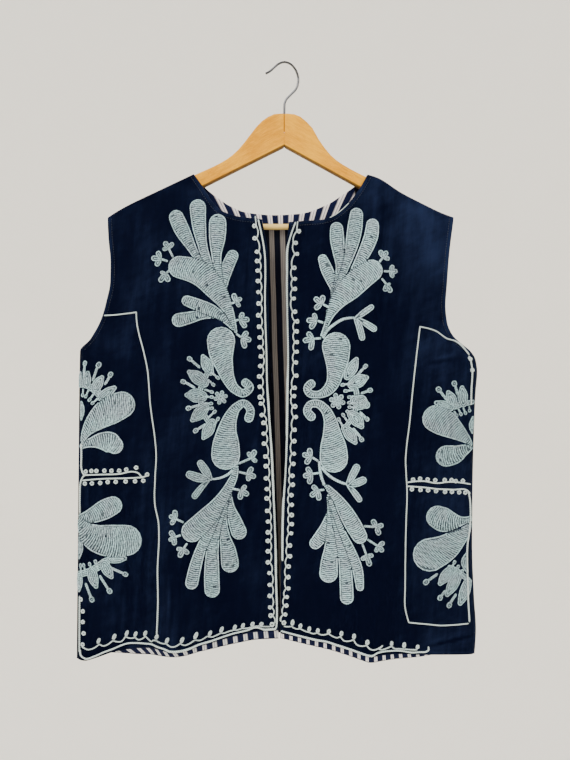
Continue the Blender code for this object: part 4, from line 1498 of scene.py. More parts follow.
@dataclass
class Stitching:
    """Rows of raised thread gathered into one mesh.

    Each row is a closed low ribbon, flat side on the cloth, its width and height drawn in where one
    link passes into the next. Its profile has an even number of points.
    """
    link: float = STITCH
    rise: float = 0.95
    profile: Places = (-1.0, -0.5, 0.5, 1.0)
    lifts: Places = (-0.25, 1.0, 1.0, -0.25)
    pinch: float = 0.20
    # painted light and shade over all its rows, as a brightness
    shade: float = 1.0
    drawn_in: float = 0.62         # share of the width left at a row's ends
    row_tones: float = 0.11        # how much brightness differs from row to row
    link_tones: float = 0.07       # and from link to link
    places: list[Array] = field(default_factory=list)
    heights: list[Array] = field(default_factory=list)
    maps: list[Array] = field(default_factory=list)
    tones: list[Array] = field(default_factory=list)
    lengths: list[int] = field(default_factory=list)

    def row(self, points: Array, half: Array | float, tone: Array | float = 1.0,
            rise: float | None = None, taper: bool = True) -> None:
        """Lay one row.

        Args:
            points: n by 2 places along it.
            half: half width, one number or one for each place.
            tone: brightness of its thread, carrying painted light and shade, one number or one for each
                place.
            rise: its height, if not the usual one.
            taper: whether its ends draw in.
        """
        count = len(points)
        seed = len(self.lengths) + points[0, 0] * 0.37 + points[0, 1] * 0.11
        run = np.concatenate([[0.0], np.cumsum(np.linalg.norm(np.diff(points, axis=0), axis=1))])
        u = run / self.link + float(scatter(seed)) * 0.5 + 0.5
        swell = np.abs(np.sin(math.pi * u))
        wide = half * (1 - self.pinch * (1 - swell))
        high = (self.rise if rise is None else rise) * (1 - 1.4 * self.pinch * (1 - swell))
        if taper:
            ends = np.minimum(np.arange(count), np.arange(count)[::-1])
            draw = np.where(ends == 0, self.drawn_in, 1.0)
            wide, high = wide * draw, high * (0.4 + 0.6 * draw)
        side = across_of(points)
        v = np.array(self.profile)
        place = points[:, None, :] + side[:, None, :] * (wide[:, None] * v)[..., None]
        lift = np.array(self.lifts)
        self.places.append(place.reshape(-1, 2))
        self.heights.append(np.where(lift < 0, lift, lift * high[:, None]).reshape(-1))
        self.maps.append(np.stack(np.broadcast_arrays(u[:, None], v), axis=-1).reshape(-1, 2))
        local = self.shade * tone * (1 + self.row_tones * float(scatter(seed + 7.0))
                                     + self.link_tones * scatter(np.floor(u) + seed))
        self.tones.append(np.repeat(local, len(v)))
        self.lengths.append(count)

    def faces(self) -> Array:
        """Quads of every ribbon: its top, its flat underside and its two ends."""
        n = len(self.profile)
        blocks, first = [], 0
        ring = np.arange(n)
        for count in self.lengths:
            start = first + np.arange(count - 1)[:, None] * n
            near, far = ring, np.roll(ring, -1)
            quads = np.stack(np.broadcast_arrays(start + near, start + near + n, start + far + n,
                                                 start + far), axis=-1)
            blocks.append(quads.reshape(-1, 4))
            blocks.extend(self.caps(first, first + (count - 1) * n, n))
            first += count * n
        return np.concatenate(blocks)

    @staticmethod
    def caps(low: int, high: int, n: int) -> list[Array]:
        """Quads that close a ribbon's two ends, in pairs down from its ring's corners."""
        pairs = np.array([[i, i + 1, n - 2 - i, n - 1 - i] for i in range(n // 2 - 1)])
        return [pairs + low, (pairs + high)[:, ::-1]]

    def build(self, name: str, cloth: Cloth, finish: bpy.types.Material) -> bpy.types.Object:
        """Lay the rows on a cloth and make the piece.

        Args:
            name: the piece's name.
            cloth: surface that the rows lie on.
            finish: its thread.
        Returns:
            The piece, riding on the garment.
        """
        flat = np.concatenate(self.places)
        points = cloth.place(flat[:, 0], flat[:, 1], np.concatenate(self.heights))
        made = piece(name, points, outward(points, self.faces()), np.concatenate(self.maps),
                     [finish], tone=np.concatenate(self.tones))
        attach(made, "root")
        LOG.info("%s: %d rows, %d faces", name, len(self.lengths), len(made.data.polygons))
        return made


@dataclass(frozen=True)
class Motif:
    """Forms worked together: an earlier form lies over a later one where they meet."""
    forms: tuple[Form, ...]

    def work(self, thread: Stitching, padding: Stitching) -> None:
        """Lay every form's rows and the padding under them.

        Args:
            thread: takes the rows.
            padding: takes the padding.
        """
        for number, form in enumerate(self.forms):
            before = self.forms[:number]
            others = before + self.forms[number + 1:]
            if form.fill is Fill.LINE:
                core = form.core(SAMPLE)
                self.lay(thread, core, before, 1.2, core[:, 2], form.tone)
                continue
            pad = form.whole(2.2, 0.5)
            padding.row(pad[:, :2], np.maximum(pad[:, 2], 0.15), form.tone,
                        0.30 + 0.02 * (number % 5), taper=False)
            if form.fill is Fill.RINGS:
                self.rings(thread, form, before)
            else:
                loop = form.loop(BORDER / 2)
                self.lay(thread, loop, others, -1.3, OUTLINE_HALF, form.tone * 1.04)
                self.rows(thread, form, before, others)

    def lay(self, thread: Stitching, path: Array, hidden_by: Iterable[Form], margin: float,
            half: Array | float, tone: float, keep: Array | None = None) -> None:
        """Lay the parts of a path that no other form covers.

        Args:
            thread: takes the rows.
            path: places along it.
            hidden_by: the forms that cover it.
            margin: how far inside them it may run.
            half: half width of the row.
            tone: brightness of its thread, carrying painted light and shade.
            keep: which of its places are wanted, if not all.
        """
        seen = np.ones(len(path), bool) if keep is None else keep.copy()
        for form in hidden_by:
            seen &= form.depth_inside(path) < margin
        wide = np.broadcast_to(half, (len(path),))
        edges = np.flatnonzero(np.diff(np.concatenate([[0], seen.astype(int), [0]])))
        for start, end in edges.reshape(-1, 2):
            if end - start > 1:
                thread.row(path[start:end, :2], wide[start:end], tone)

    def rings(self, thread: Stitching, form: Form, before: Sequence[Form]) -> None:
        """Rows that follow the outline, and a last one down the middle.

        Args:
            thread: takes the rows.
            form: the form to fill.
            before: forms that lie over it.
        """
        widest = float(form.core()[:, 2].max())
        inset = BORDER / 2
        while widest - inset > 0.7:
            self.lay(thread, form.loop(inset), before, 1.0, RING_HALF, form.tone)
            inset += BORDER
        left = widest - (inset - BORDER / 2)
        if left > 0.35:
            core = form.core(SAMPLE)
            middle = core[core[:, 2] > inset - BORDER / 2 + 0.3]
            if len(middle) > 1:
                self.lay(thread, middle, before, 1.0, min(left + 0.3, 1.3), form.tone * 0.96)

    def rows(self, thread: Stitching, form: Form, before: Sequence[Form],
             others: Sequence[Form]) -> None:
        """Crosswise rows: centre + normal q + way along (bow w (1 - q^2 / w^2) + slant q).

        They stop at the outline row, and run on to the form's edge where it joins another form. Each
        wanders a little, and a wide one may have a gap, as in work by hand.

        Args:
            thread: takes the rows.
            form: the form to fill.
            before: forms that lie over it.
            others: every other form of the motif.
        """
        whole = form.whole(ROW, 0.6)
        side = across_of(whole)
        along = np.stack([side[:, 1], -side[:, 0]], axis=-1)
        for number, (centre, out, way) in enumerate(zip(whole, side, along)):
            reach = centre[2]
            if reach < 1.2:
                continue
            q = np.linspace(-reach, reach, max(int(round(2 * reach / SAMPLE)), 2) + 1)
            bow = form.bulge * reach * (1 - (q / reach) ** 2) + form.slant * q
            wander = WANDER * np.sin(q * 0.55 + number * 1.7) + UNEVEN * float(scatter(number + reach))
            path = centre[:2] + out * q[:, None] + way * (bow + wander)[:, None]
            keep = form.depth_inside(path) > BORDER - 0.35
            for other in others:
                keep |= other.depth_inside(path) > -RUN_ON
            if reach > 5 and float(scatter(number * 5.7 + centre[1])) > BREAK_OVER:
                middle = 0.5 * reach * float(scatter(number + 0.3))
                keep &= np.abs(q - middle) > BREAK
            shade = form.tone * (1 + 0.05 * math.sin(number * 0.7 + centre[0]))
            wide = ROW_HALF + 0.12 * float(scatter(number * 3.1 + centre[1]))
            self.lay(thread, path, before, 0.4, wide, shade, keep)


# ---------------------------------------------------------------- the embroidery's drawing
# every table below: millimetres outwards from the middle (or round from the side fold), down from
# the hook's crown, and half width where there is a third column
def form(*spine: Triple, slant: float = 0.0, bulge: float = 0.22, tone: float = 1.0) -> Form:
    """A form filled crosswise."""
    return Form(tuple(spine), Fill.ACROSS, slant, bulge, tone)


def ringed(*spine: Triple, tone: float = 1.0) -> Form:
    """A form filled by its own outlines."""
    return Form(tuple(spine), Fill.RINGS, tone=tone)


def line(*spine: Triple, tone: float = 1.0) -> Form:
    """A single row."""
    return Form(tuple(spine), Fill.LINE, tone=tone)


@dataclass(frozen=True)
class Blossom:
    """Small blossom on a short stalk: where it starts, its heart, the tips of its petals, and its tone,
    painted light and shade as a brightness of its thread.
    """
    root: Pair
    heart: Pair
    tips: Table
    tone: float = 1.0

    def forms(self) -> tuple[Form, ...]:
        """Petals from the heart, then the stalk."""
        heart = np.array(self.heart)
        made = []
        for tip in self.tips:
            way = np.array(tip) - heart
            reach = float(np.linalg.norm(way))
            wide = min(4.2, reach * 0.40)
            made.append(ringed(*[(*(heart + way * share), wide * part) for share, part in
                                 ((0.02, 0.55), (0.36, 0.92), (1.16 - wide / reach, 1.0))],
                               tone=self.tone))
        made.append(line((*self.root, 2.0), (*self.heart, 2.0), tone=self.tone))
        return tuple(made)


@dataclass(frozen=True)
class Stamen:
    """A thin row that ends in a round knob: root, middle and knob, and the knob's radius."""
    line: Places

    def forms(self) -> tuple[Form, ...]:
        """Knob, then its row."""
        root, middle, knob = np.array(self.line[:6], float).reshape(3, 2)
        radius = self.line[6]
        way = (knob - middle) / np.linalg.norm(knob - middle)
        neck = knob - way * radius * 1.5
        end = middle if np.linalg.norm(neck - root) < 9 else neck
        return (ringed((*root, 2.1), (*end, 2.1)),
                ringed((*(knob - way * 0.8), radius + 0.5), (*(knob + way * 0.8), radius + 0.5)))


@dataclass(frozen=True)
class FrontDrawing:
    """What one front carries between its edge and its side panel."""
    upper: tuple[Form, ...]        # plume, its leaves and its twig
    paisleys: tuple[Form, ...]
    petals: tuple[Form, ...]       # of the half flower between the paisleys, and its arc
    stamens: Table         # root, middle, knob and its radius
    rays: Table            # root and tip of each
    star: Triple           # its heart and reach
    lower: tuple[Form, ...]
    blossoms: tuple[Blossom, ...]  # six of the upper plume, then those of the lower one
    edge_cord: Table
    wave: Pair             # from a picot to the wave's joint, and the wave's depth
    dim: Triple            # painted shade on the cords above a place, as a brightness easing to 1 below
    shade: float           # painted light and shade on all its thread, as a brightness
    loop_way: Pair         # lean and brightness of the hem's loops
    picots: Table
    hem_cord: Table
    scallops: Table        # the third column marks the cusps
    loops: Table           # middle, half width and half height


LEFT_DRAWING = FrontDrawing(
    upper=(
        form((68, 383, 2.6), (77.5, 354.5, 7), (95.5, 325, 14.75), (119, 301.5, 17.5), (147, 292.5, 16),
             slant=0.10, bulge=0.20, tone=0.96),
        form((71.5, 370, 1.5), (95.5, 322.5, 4), (118.5, 285, 4.8), (130.5, 264.5, 7),
             (136.7, 253, 9.2), (143, 241.5, 10.9), (152, 222, 10.75), tone=0.92),
        form((71.5, 370, 1.5), (87, 332, 4.25), (106.5, 290.5, 6.6), (114.6, 262.5, 7.1),
             (119.3, 237, 9.9), (121.7, 208, 11.8)),
        form((71.5, 370, 1.5), (81.5, 339, 3.5), (92.5, 300, 5.5), (95, 275, 7.5), (94, 252.5, 11.75),
             (93.5, 230, 12.5)),
        form((71.5, 374, 1.5), (80, 346, 5), (86, 320, 7), (81, 297, 9), (72.5, 277, 8.6)),
        form((71.5, 381, 1.75), (84.5, 365, 5.5), (101, 354, 8.5), (120.5, 346, 8.75), (136.5, 340, 7.75),
             tone=0.93),
        form((87, 363, 5), (104, 359, 6.25), (118, 360, 7.25), (132, 363.5, 8.75), (148, 367, 10),
             tone=0.88)),
    paisleys=(
        form((54, 455, 6.5), (48, 461, 5.75), (56.5, 469.5, 6), (69, 463.5, 7), (78, 449.5, 9.25),
             (83.5, 433, 12.5), (88, 414.5, 17.25), (88.5, 396.5, 20.25), slant=-0.30, bulge=0.06),
        form((49.5, 504, 6.75), (47.5, 493, 6), (56.5, 483.5, 5.5), (67.5, 490, 7), (75, 503, 9.75),
             (80, 521, 13.75), (81.5, 539, 18.75), (82, 556.5, 20.5), slant=-0.06, bulge=0.16)),
    petals=(
        ringed((103.5, 440, 5.5), (108.5, 429, 8.4), (113.8, 418, 3.4), tone=0.92),
        ringed((112, 455, 7), (123, 446.5, 9.2), (133, 439.8, 3.6), tone=0.84),
        ringed((115, 474, 8), (126, 472.5, 10), (136.5, 472, 3.6), tone=0.80),
        ringed((111, 490, 7), (120.5, 499.5, 8.8), (128.6, 507, 3.6), tone=0.80),
        ringed((101, 511, 6.5), (107.5, 523, 8.2), (113, 532, 3.4), tone=0.86),
        ringed((106, 436, 3.2), (111, 449, 4), (116.5, 461, 4), (117.5, 474, 4), (115.5, 488, 4),
               (110.5, 502, 4), (101.5, 516, 3.2))),
    stamens=(
        (119, 433, 129, 424.5, 132.5, 421.5, 3.25),
        (126, 461.5, 137.5, 455, 141.5, 453.5, 3.25),
        (120.5, 486.5, 130.5, 489.5, 134, 490.5, 3.25),
        (111, 513.5, 120.5, 519.5, 124, 522, 3.25)),
    rays=(
        (103, 439, 92.5, 448.5), (107, 450.5, 99, 458), (112, 464, 101, 468), (112, 474, 101, 475),
        (112, 483.5, 102, 484), (111, 492.5, 101, 490.5), (106.5, 504, 97, 495), (97.5, 514, 92.5, 505)),
    star=(89, 475.5, 10.5),
    lower=(
        form((67.5, 567, 3.75), (69, 581, 5), (78, 602, 7), (91.5, 623, 9.75), (108.5, 643.5, 14),
             (128.5, 662.5, 15.5), slant=-0.08),
        form((76, 602, 2.75), (90, 633, 4.25), (106.5, 666.5, 7), (117, 688.5, 7.5), (124, 711, 8.75),
             (129, 734, 9.25)),
        form((76, 605, 2.75), (87, 635.5, 5), (97, 667.5, 7), (100.5, 691.5, 9), (101.5, 719.5, 10.75),
             (101, 745, 11)),
        form((77.5, 612, 2.75), (85, 647, 5.25), (83, 670.5, 7.75), (78.5, 690, 11.25),
             (76, 708.5, 12.75)),
        form((73, 591, 2), (76.5, 610.5, 3.75), (75, 630, 6.5), (69.5, 647, 9.75), (63.5, 663.5, 11.25)),
        ringed((102.5, 589.5, 2.75), (109.5, 579, 6), (117, 568, 5.5), tone=0.80),
        ringed((105, 590, 2.75), (119, 588, 6.5), (132.5, 583.5, 5.75), tone=0.78),
        ringed((104, 590, 2), (115, 600.5, 4.25), (125, 613, 5), tone=0.80),
        line((102.5, 590, 1.75), (90, 588, 2), (78, 582.5, 2.4), (68, 571.5, 2.4))),
    blossoms=(
        Blossom((156, 279), (162.5, 266), ((168, 257.5), (156.5, 259), (170.5, 267.5)), 0.90),
        Blossom((163.5, 284.5), (174, 280.5), ((177.5, 271), (185.5, 280), (179.5, 290)), 0.92),
        Blossom((160.5, 296.5), (166.5, 302), ((173.5, 299.5), (174.5, 312), (162.5, 312)), 0.90),
        Blossom((78, 345), (67.5, 341.5), ((71, 331), (60.5, 336.5), (62.5, 348))),
        Blossom((69, 368), (62, 366.5), ((58, 357.5), (50, 366.5), (54.5, 376.5))),
        Blossom((67.5, 386), (59, 392.5), ((52, 384), (47.5, 395), (55, 405))),
        Blossom((64, 568), (46, 560), ((50.5, 552.5), (41, 550), (39, 565))),
        Blossom((63.5, 579.5), (51, 582.5), ((45, 574), (41, 586.5), (50, 591.5))),
        Blossom((73, 603), (60, 605.5), ((54, 599), (51, 611.5), (62, 617))),
        Blossom((140.5, 650), (152, 645), ((153, 634), (160, 641), (158, 652))),
        Blossom((144.5, 667.5), (153, 670.5), ((159, 662.5), (160.5, 674.5), (153.5, 680.5))),
        Blossom((135.5, 679), (141, 687), ((149.5, 686.5), (146, 697), (134, 693)))),
    edge_cord=((36.5, 226), (31, 251), (27.5, 273), (26.5, 306.5), (27, 330), (26.5, 367), (25, 410),
               (24, 460), (21.5, 500), (18.5, 545), (16, 600), (13, 663.5), (12, 720), (10.5, 767)),
    wave=(2.8, 2.4),
    dim=(1.0, 300.0, 400.0),
    shade=0.95,
    loop_way=(0.36, 0.80),
    picots=((42, 235), (41.5, 252.5), (38.5, 271.5), (38, 284.5), (37.5, 298), (37, 312.5), (36.5, 328),
            (36, 344), (36.5, 360.5), (35.5, 376.5), (34.5, 391.5), (34.5, 405), (33, 418), (33.5, 431.5),
            (35, 446), (34.5, 460.5), (34, 475), (33, 484), (31.5, 500), (29, 511), (29, 526), (28.5, 540),
            (26.5, 558), (26, 571.5), (25.5, 588.5), (24.5, 603.5), (24.5, 616.5), (24, 634), (23, 649),
            (23, 664), (23, 676), (23, 690.5), (23, 706), (21, 721), (20.5, 737.5), (20.5, 753),
            (20, 769), (19, 780.5), (17, 793)),
    hem_cord=((288.5, 833), (287.5, 840.5), (281.5, 844.5), (268.5, 841), (254.5, 834.5), (241, 829.5),
              (230, 825), (219.5, 822), (210.5, 821.5), (196, 821), (186, 821), (178, 823), (166.5, 825),
              (156.5, 828), (148.5, 828), (136, 826), (121.5, 821), (101.5, 816), (87, 811.5),
              (72.5, 807), (52.5, 802), (39, 797.5), (28, 800), (16, 801), (11.8, 798), (10.8, 792.5),
              (10.5, 782), (10.5, 767)),
    scallops=((286, 828, 1), (276.5, 831.5, 0), (270.5, 830, 0), (260.5, 823, 1), (254.5, 825.5, 0),
              (251, 824.5, 0), (241.5, 818, 1), (236, 819.5, 0), (230, 819.5, 0), (224, 812.5, 1),
              (217.5, 815, 0), (212.5, 814.5, 0), (210, 813.5, 1), (206, 816.5, 0), (200, 815, 0),
              (195, 810.5, 1), (186, 818, 1), (183.5, 815.5, 0), (178, 815, 1), (172.5, 817, 0),
              (167.5, 817.5, 0), (163.5, 817, 1), (156.5, 821, 0), (150, 820, 0), (144.5, 816.5, 1),
              (138, 819.5, 0), (134, 818.5, 0), (125, 813.5, 1), (116.5, 814.5, 0), (113.5, 813, 0),
              (108, 809.5, 1), (99.5, 810.5, 0), (97, 809.5, 0), (89, 806, 1), (85, 806, 0),
              (77.5, 803.5, 0), (70.5, 802, 1), (65.5, 801.5, 0), (59.5, 799.5, 1), (52.5, 799, 0),
              (43.5, 796.5, 1), (36.5, 795.5, 0), (28, 796, 0), (19, 796, 1)),
    loops=((261.5, 818.5, 2.1, 3.8), (239.5, 812.5, 2.3, 4.2), (222, 808, 2.1, 4.0),
           (209.5, 809, 2.1, 3.6), (195, 806.5, 2.2, 3.6), (162.5, 812.5, 2.1, 4.0),
           (142, 812, 2.2, 4.0), (177.8, 809.5, 2.2, 3.4), (123.5, 807.5, 2.3, 4.8),
           (104, 805.5, 2.2, 3.5), (88, 801, 2.2, 4.2), (69.5, 798, 2.2, 3.5), (58, 795.5, 2.2, 3.4),
           (44.5, 793, 2.4, 3.0), (32, 792.5, 2.6, 2.4)))

RIGHT_DRAWING = FrontDrawing(
    upper=(
        form((52.5, 389.5, 2.75), (57, 378.5, 3.25), (65.5, 357.5, 6.5), (76.5, 339, 12),
             (92, 322.5, 16.75), (108.5, 307.5, 17), (122.5, 297.5, 15.75), slant=0.10, bulge=0.20,
             tone=1.08),
        form((61, 361.5, 2), (79.5, 325, 3.5), (97.5, 297.5, 5.5), (108, 280.5, 8.25),
             (116.5, 263.5, 9.75), (122, 248.5, 10.25), (124, 233, 9.25), tone=1.06),
        form((59.5, 360, 2), (72.5, 325, 3.5), (85, 294.5, 5.5), (91, 276.5, 7.25), (96, 255.5, 10),
             (99.5, 234.5, 10.75), (101.5, 218, 9.5), tone=0.88),
        form((59.5, 356, 2), (72.5, 318, 4), (78, 290.5, 6.4), (76, 270.5, 8.9), (74, 252.5, 10.3),
             (73.5, 238.5, 9.5), tone=0.85),
        form((58.5, 364.5, 2), (66, 342, 4), (70, 324, 6), (65.5, 310, 8), (59.5, 296, 8.75),
             (54, 281.5, 7), tone=0.96),
        ringed((100.5, 364.5, 3), (111.5, 356.5, 4.5), (122, 349, 4.25)),
        ringed((103, 365, 2.5), (117, 373.5, 4.75), (125.5, 379, 5)),
        ringed((101, 366, 4), (106, 379.5, 5), (109, 391.5, 4.75)),
        line((99.5, 364, 2), (83.5, 365.5, 2.4), (70, 373, 2.5), (59.5, 382.5, 2.6), (54, 392.5, 2.5))),
    paisleys=(
        form((37.5, 456.5, 6.5), (32, 463, 5.75), (35.5, 469.5, 5.75), (46.5, 471.5, 5.5),
             (59, 466.5, 7.75), (68, 455, 9.75), (71.5, 440, 12.25), (73.5, 423, 17),
             (72.5, 404, 20.25), slant=-0.10, bulge=0.14),
        form((37.5, 502, 6.75), (32, 493.5, 6), (36, 485.5, 5.5), (45.5, 484, 6), (56.5, 491.5, 7),
             (63.5, 505.5, 9), (66.5, 523.5, 12.75), (68.5, 543.5, 18.5), (69.5, 561, 20),
             slant=0.22, bulge=0.14)),
    petals=(
        ringed((88, 446, 5.5), (95.5, 433, 8.2), (101, 422, 3.6)),
        ringed((95, 457.5, 7), (106.5, 451, 9.2), (115, 447.5, 3.8)),
        ringed((99, 480, 7.5), (108, 483, 11), (115, 486, 5.5)),
        ringed((94, 499, 6.5), (102.5, 508, 9.3), (108, 516, 4.2)),
        ringed((85, 518.5, 6), (93.5, 529.5, 8.2), (99.3, 538.5, 3.6)),
        ringed((89, 443, 3.2), (95.5, 455, 4), (100.5, 466, 4), (102, 478, 4), (100, 491, 4),
               (94.5, 504, 4), (84, 519, 3.2))),
    stamens=(
        (102.5, 444, 110.5, 435, 113.5, 432, 3),
        (108.5, 469.5, 117, 466.5, 120, 465.5, 3.25),
        (106.5, 496.5, 113, 503, 115.5, 505.5, 3),
        (97, 519.5, 106, 530.5, 108, 534, 3.25)),
    rays=(
        (94, 455.5, 81, 458), (98, 465, 85, 466.5), (101, 473.5, 90.5, 475), (101, 483, 90.5, 483),
        (100.5, 489.5, 91, 489), (97, 501.5, 88, 495), (89, 510, 82, 499.5), (82, 516.5, 76, 505.5)),
    star=(74, 480.5, 12),
    lower=(
        form((58.5, 599, 3.25), (63.5, 604.5, 4.75), (74.5, 617.5, 7.25), (85.5, 635, 10.5),
             (96, 653, 11.75), (105.5, 669.5, 10.75), slant=-0.08, tone=1.08),
        form((64.5, 619, 3.25), (73.5, 645, 4.25), (83.5, 669, 5.25), (94.3, 692.5, 6.75),
             (102.5, 716.5, 7.5), (105.5, 740, 5.75), tone=1.08),
        form((64, 619, 3.75), (72, 647, 5.75), (79, 674.5, 7.5), (84, 702.5, 8.5),
             (86.5, 730.5, 9.5), (87.5, 755.5, 9.75), tone=1.08),
        form((62.5, 616, 3.75), (65.5, 640, 5.75), (66.5, 667.5, 8.5), (65.5, 687.5, 10),
             (63, 705.5, 12), (62, 722, 13.25), tone=1.08),
        form((62.5, 612, 3.25), (64.5, 630, 4.25), (61, 649.5, 7.25), (53, 667.5, 9.5),
             (43.5, 679.5, 8.75), tone=1.08),
        ringed((89, 596.5, 3.5), (95.5, 584.5, 5.5), (101, 573.5, 5.5)),
        ringed((90.5, 598.5, 2.75), (100.5, 595.5, 5.5), (110, 591.5, 5.75)),
        ringed((89, 598.5, 2.5), (98, 608.5, 4.5), (105, 618, 4.5)),
        line((49, 564.5, 2.6), (51, 582.5, 2.5), (57, 600.5, 2.6)),
        line((87.5, 597, 2), (75, 592.5, 2.4), (62.5, 584.5, 2.4), (51.5, 572.5, 2.4))),
    blossoms=(
        Blossom((133, 286), (138.5, 279), ((134.5, 270), (144, 271), (147, 281)), 0.90),
        Blossom((139.5, 298.5), (148.5, 298.5), ((152.5, 290.5), (158, 298.5), (152.5, 306.5)), 0.78),
        Blossom((136.5, 308.5), (143.5, 317), ((149, 316), (141, 326), (149.5, 327)), 0.72),
        Blossom((62, 349), (52, 344), ((54.5, 333.5), (43, 336.5), (43.5, 351))),
        Blossom((55, 371), (44.5, 367.5), ((41.5, 358.5), (32.5, 367.5), (37, 378))),
        Blossom((51.5, 392.5), (40, 393.5), ((33, 385), (27.5, 396), (37, 407.5))),
        Blossom((47.5, 564.5), (37, 558), ((35, 547.5), (26.5, 555), (30.5, 567.5))),
        Blossom((48.5, 581), (38, 582.5), ((32, 574), (27.5, 585.5), (35, 595))),
        Blossom((56, 604.5), (47, 605.5), ((39.5, 599.5), (37.5, 613), (48.5, 618))),
        Blossom((111, 655), (128.5, 656.5), ((123.5, 647), (137.5, 653.5), (132.5, 666.5)), 0.80),
        Blossom((116, 673.5), (131, 683), ((139, 678), (137.5, 690), (127.5, 690.5)), 0.76),
        Blossom((109, 680), (115, 696.5), ((108, 701.5), (123.5, 695.5), (119, 709)), 0.84)),
    edge_cord=((16, 229.5), (10, 245.5), (5.5, 262), (4.2, 295.5), (4.2, 353), (5.4, 423), (4.6, 479),
               (3.8, 536.5), (1.6, 584), (-1.2, 630), (-2.2, 670), (-2.4, 704)),
    wave=(3.2, 2.2),
    dim=(0.74, 320.0, 430.0),
    shade=1.12,
    loop_way=(-0.12, 0.96),
    picots=((20.5, 242.5), (16, 259), (18, 274.5), (14, 294), (15, 309.5), (15, 323.5), (13.5, 337),
            (15, 355.5), (18, 369), (17.5, 383), (17.9, 398), (17.6, 411.5), (16.5, 426.5),
            (17, 445), (14.4, 462), (13.9, 473.5), (15.1, 488), (16.3, 502.8), (14.6, 520.7),
            (14, 536.5), (13.8, 554.2), (12.9, 568.3), (11.4, 585), (12, 597.4), (10, 612),
            (10.6, 625.5), (10.4, 639.8), (10.6, 652.6), (9.7, 665.5), (7.9, 682.5), (7.9, 697.5),
            (6, 711.8), (5.8, 726.7), (5.8, 742.5), (3.7, 754.5), (3, 766.5), (1.5, 779),
            (-0.5, 790.5)),
    hem_cord=((-4.5, 802), (6.5, 805), (26.5, 810.5), (46, 815.5), (60.5, 818), (75, 822.5),
              (95, 828), (109.5, 832), (119.5, 833.8), (124.5, 832.5), (129, 830), (134, 829),
              (149, 828.5), (164, 829.5), (178.5, 832), (190.5, 832), (198.5, 832), (202, 830), (202, 825)),
    scallops=((-0.5, 795.5, 1), (6.5, 796, 0), (10, 795.5, 1), (13.5, 798, 0), (18.5, 799.5, 0),
              (22, 799, 1), (26.5, 801.5, 0), (31, 803.5, 0), (35, 804.5, 1), (40, 806.5, 0),
              (46, 805.5, 1), (51, 808, 0), (57.5, 808, 0), (62, 806.5, 1), (68.5, 810.5, 0),
              (74.5, 812, 0), (78.5, 810, 1), (84, 816, 0), (91, 816, 0), (97, 813.5, 1),
              (102, 820.5, 0), (108.5, 821.5, 0), (114.5, 819.5, 1), (119.5, 824.5, 0),
              (124.5, 825.5, 0), (130, 824, 0), (137, 820, 1), (131, 824.5, 1), (135.5, 826, 0),
              (140.5, 825, 0), (149.5, 822, 1), (153, 825.5, 0), (161, 826.5, 0), (167.5, 827, 1),
              (176, 828, 0), (186, 828.5, 1)),
    loops=((11.5, 790.5, 2.2, 4.3), (22.5, 795.5, 2.3, 3.4), (35, 800, 2.2, 3.6), (47, 802.5, 2.3, 3.0),
           (62.5, 803.5, 2.4, 3.0), (80, 806, 2.2, 3.5), (97.5, 809, 2.3, 3.8), (115.5, 815.5, 2.3, 3.6),
           (149.5, 818.5, 1.6, 3.4), (167.5, 821.5, 2.3, 4.0), (186.5, 824.5, 2.2, 2.6)))


@dataclass(frozen=True)
class SideDrawing:
    """What one side panel carries; the back has the same, mirrored about the fold."""
    flowers: tuple[tuple[Form, ...], ...]
    stamens: Table
    rays: Table
    fold_cords: Table
    fold_picots: Table
    dividers: Table
    divider_dots: Table
    frame: Table           # outwards from the middle
    stretch: float = 1.0   # share by which the ways round are drawn out
    shade: float = 1.0     # painted light and shade on its thread, and more weakly its cords, as a brightness
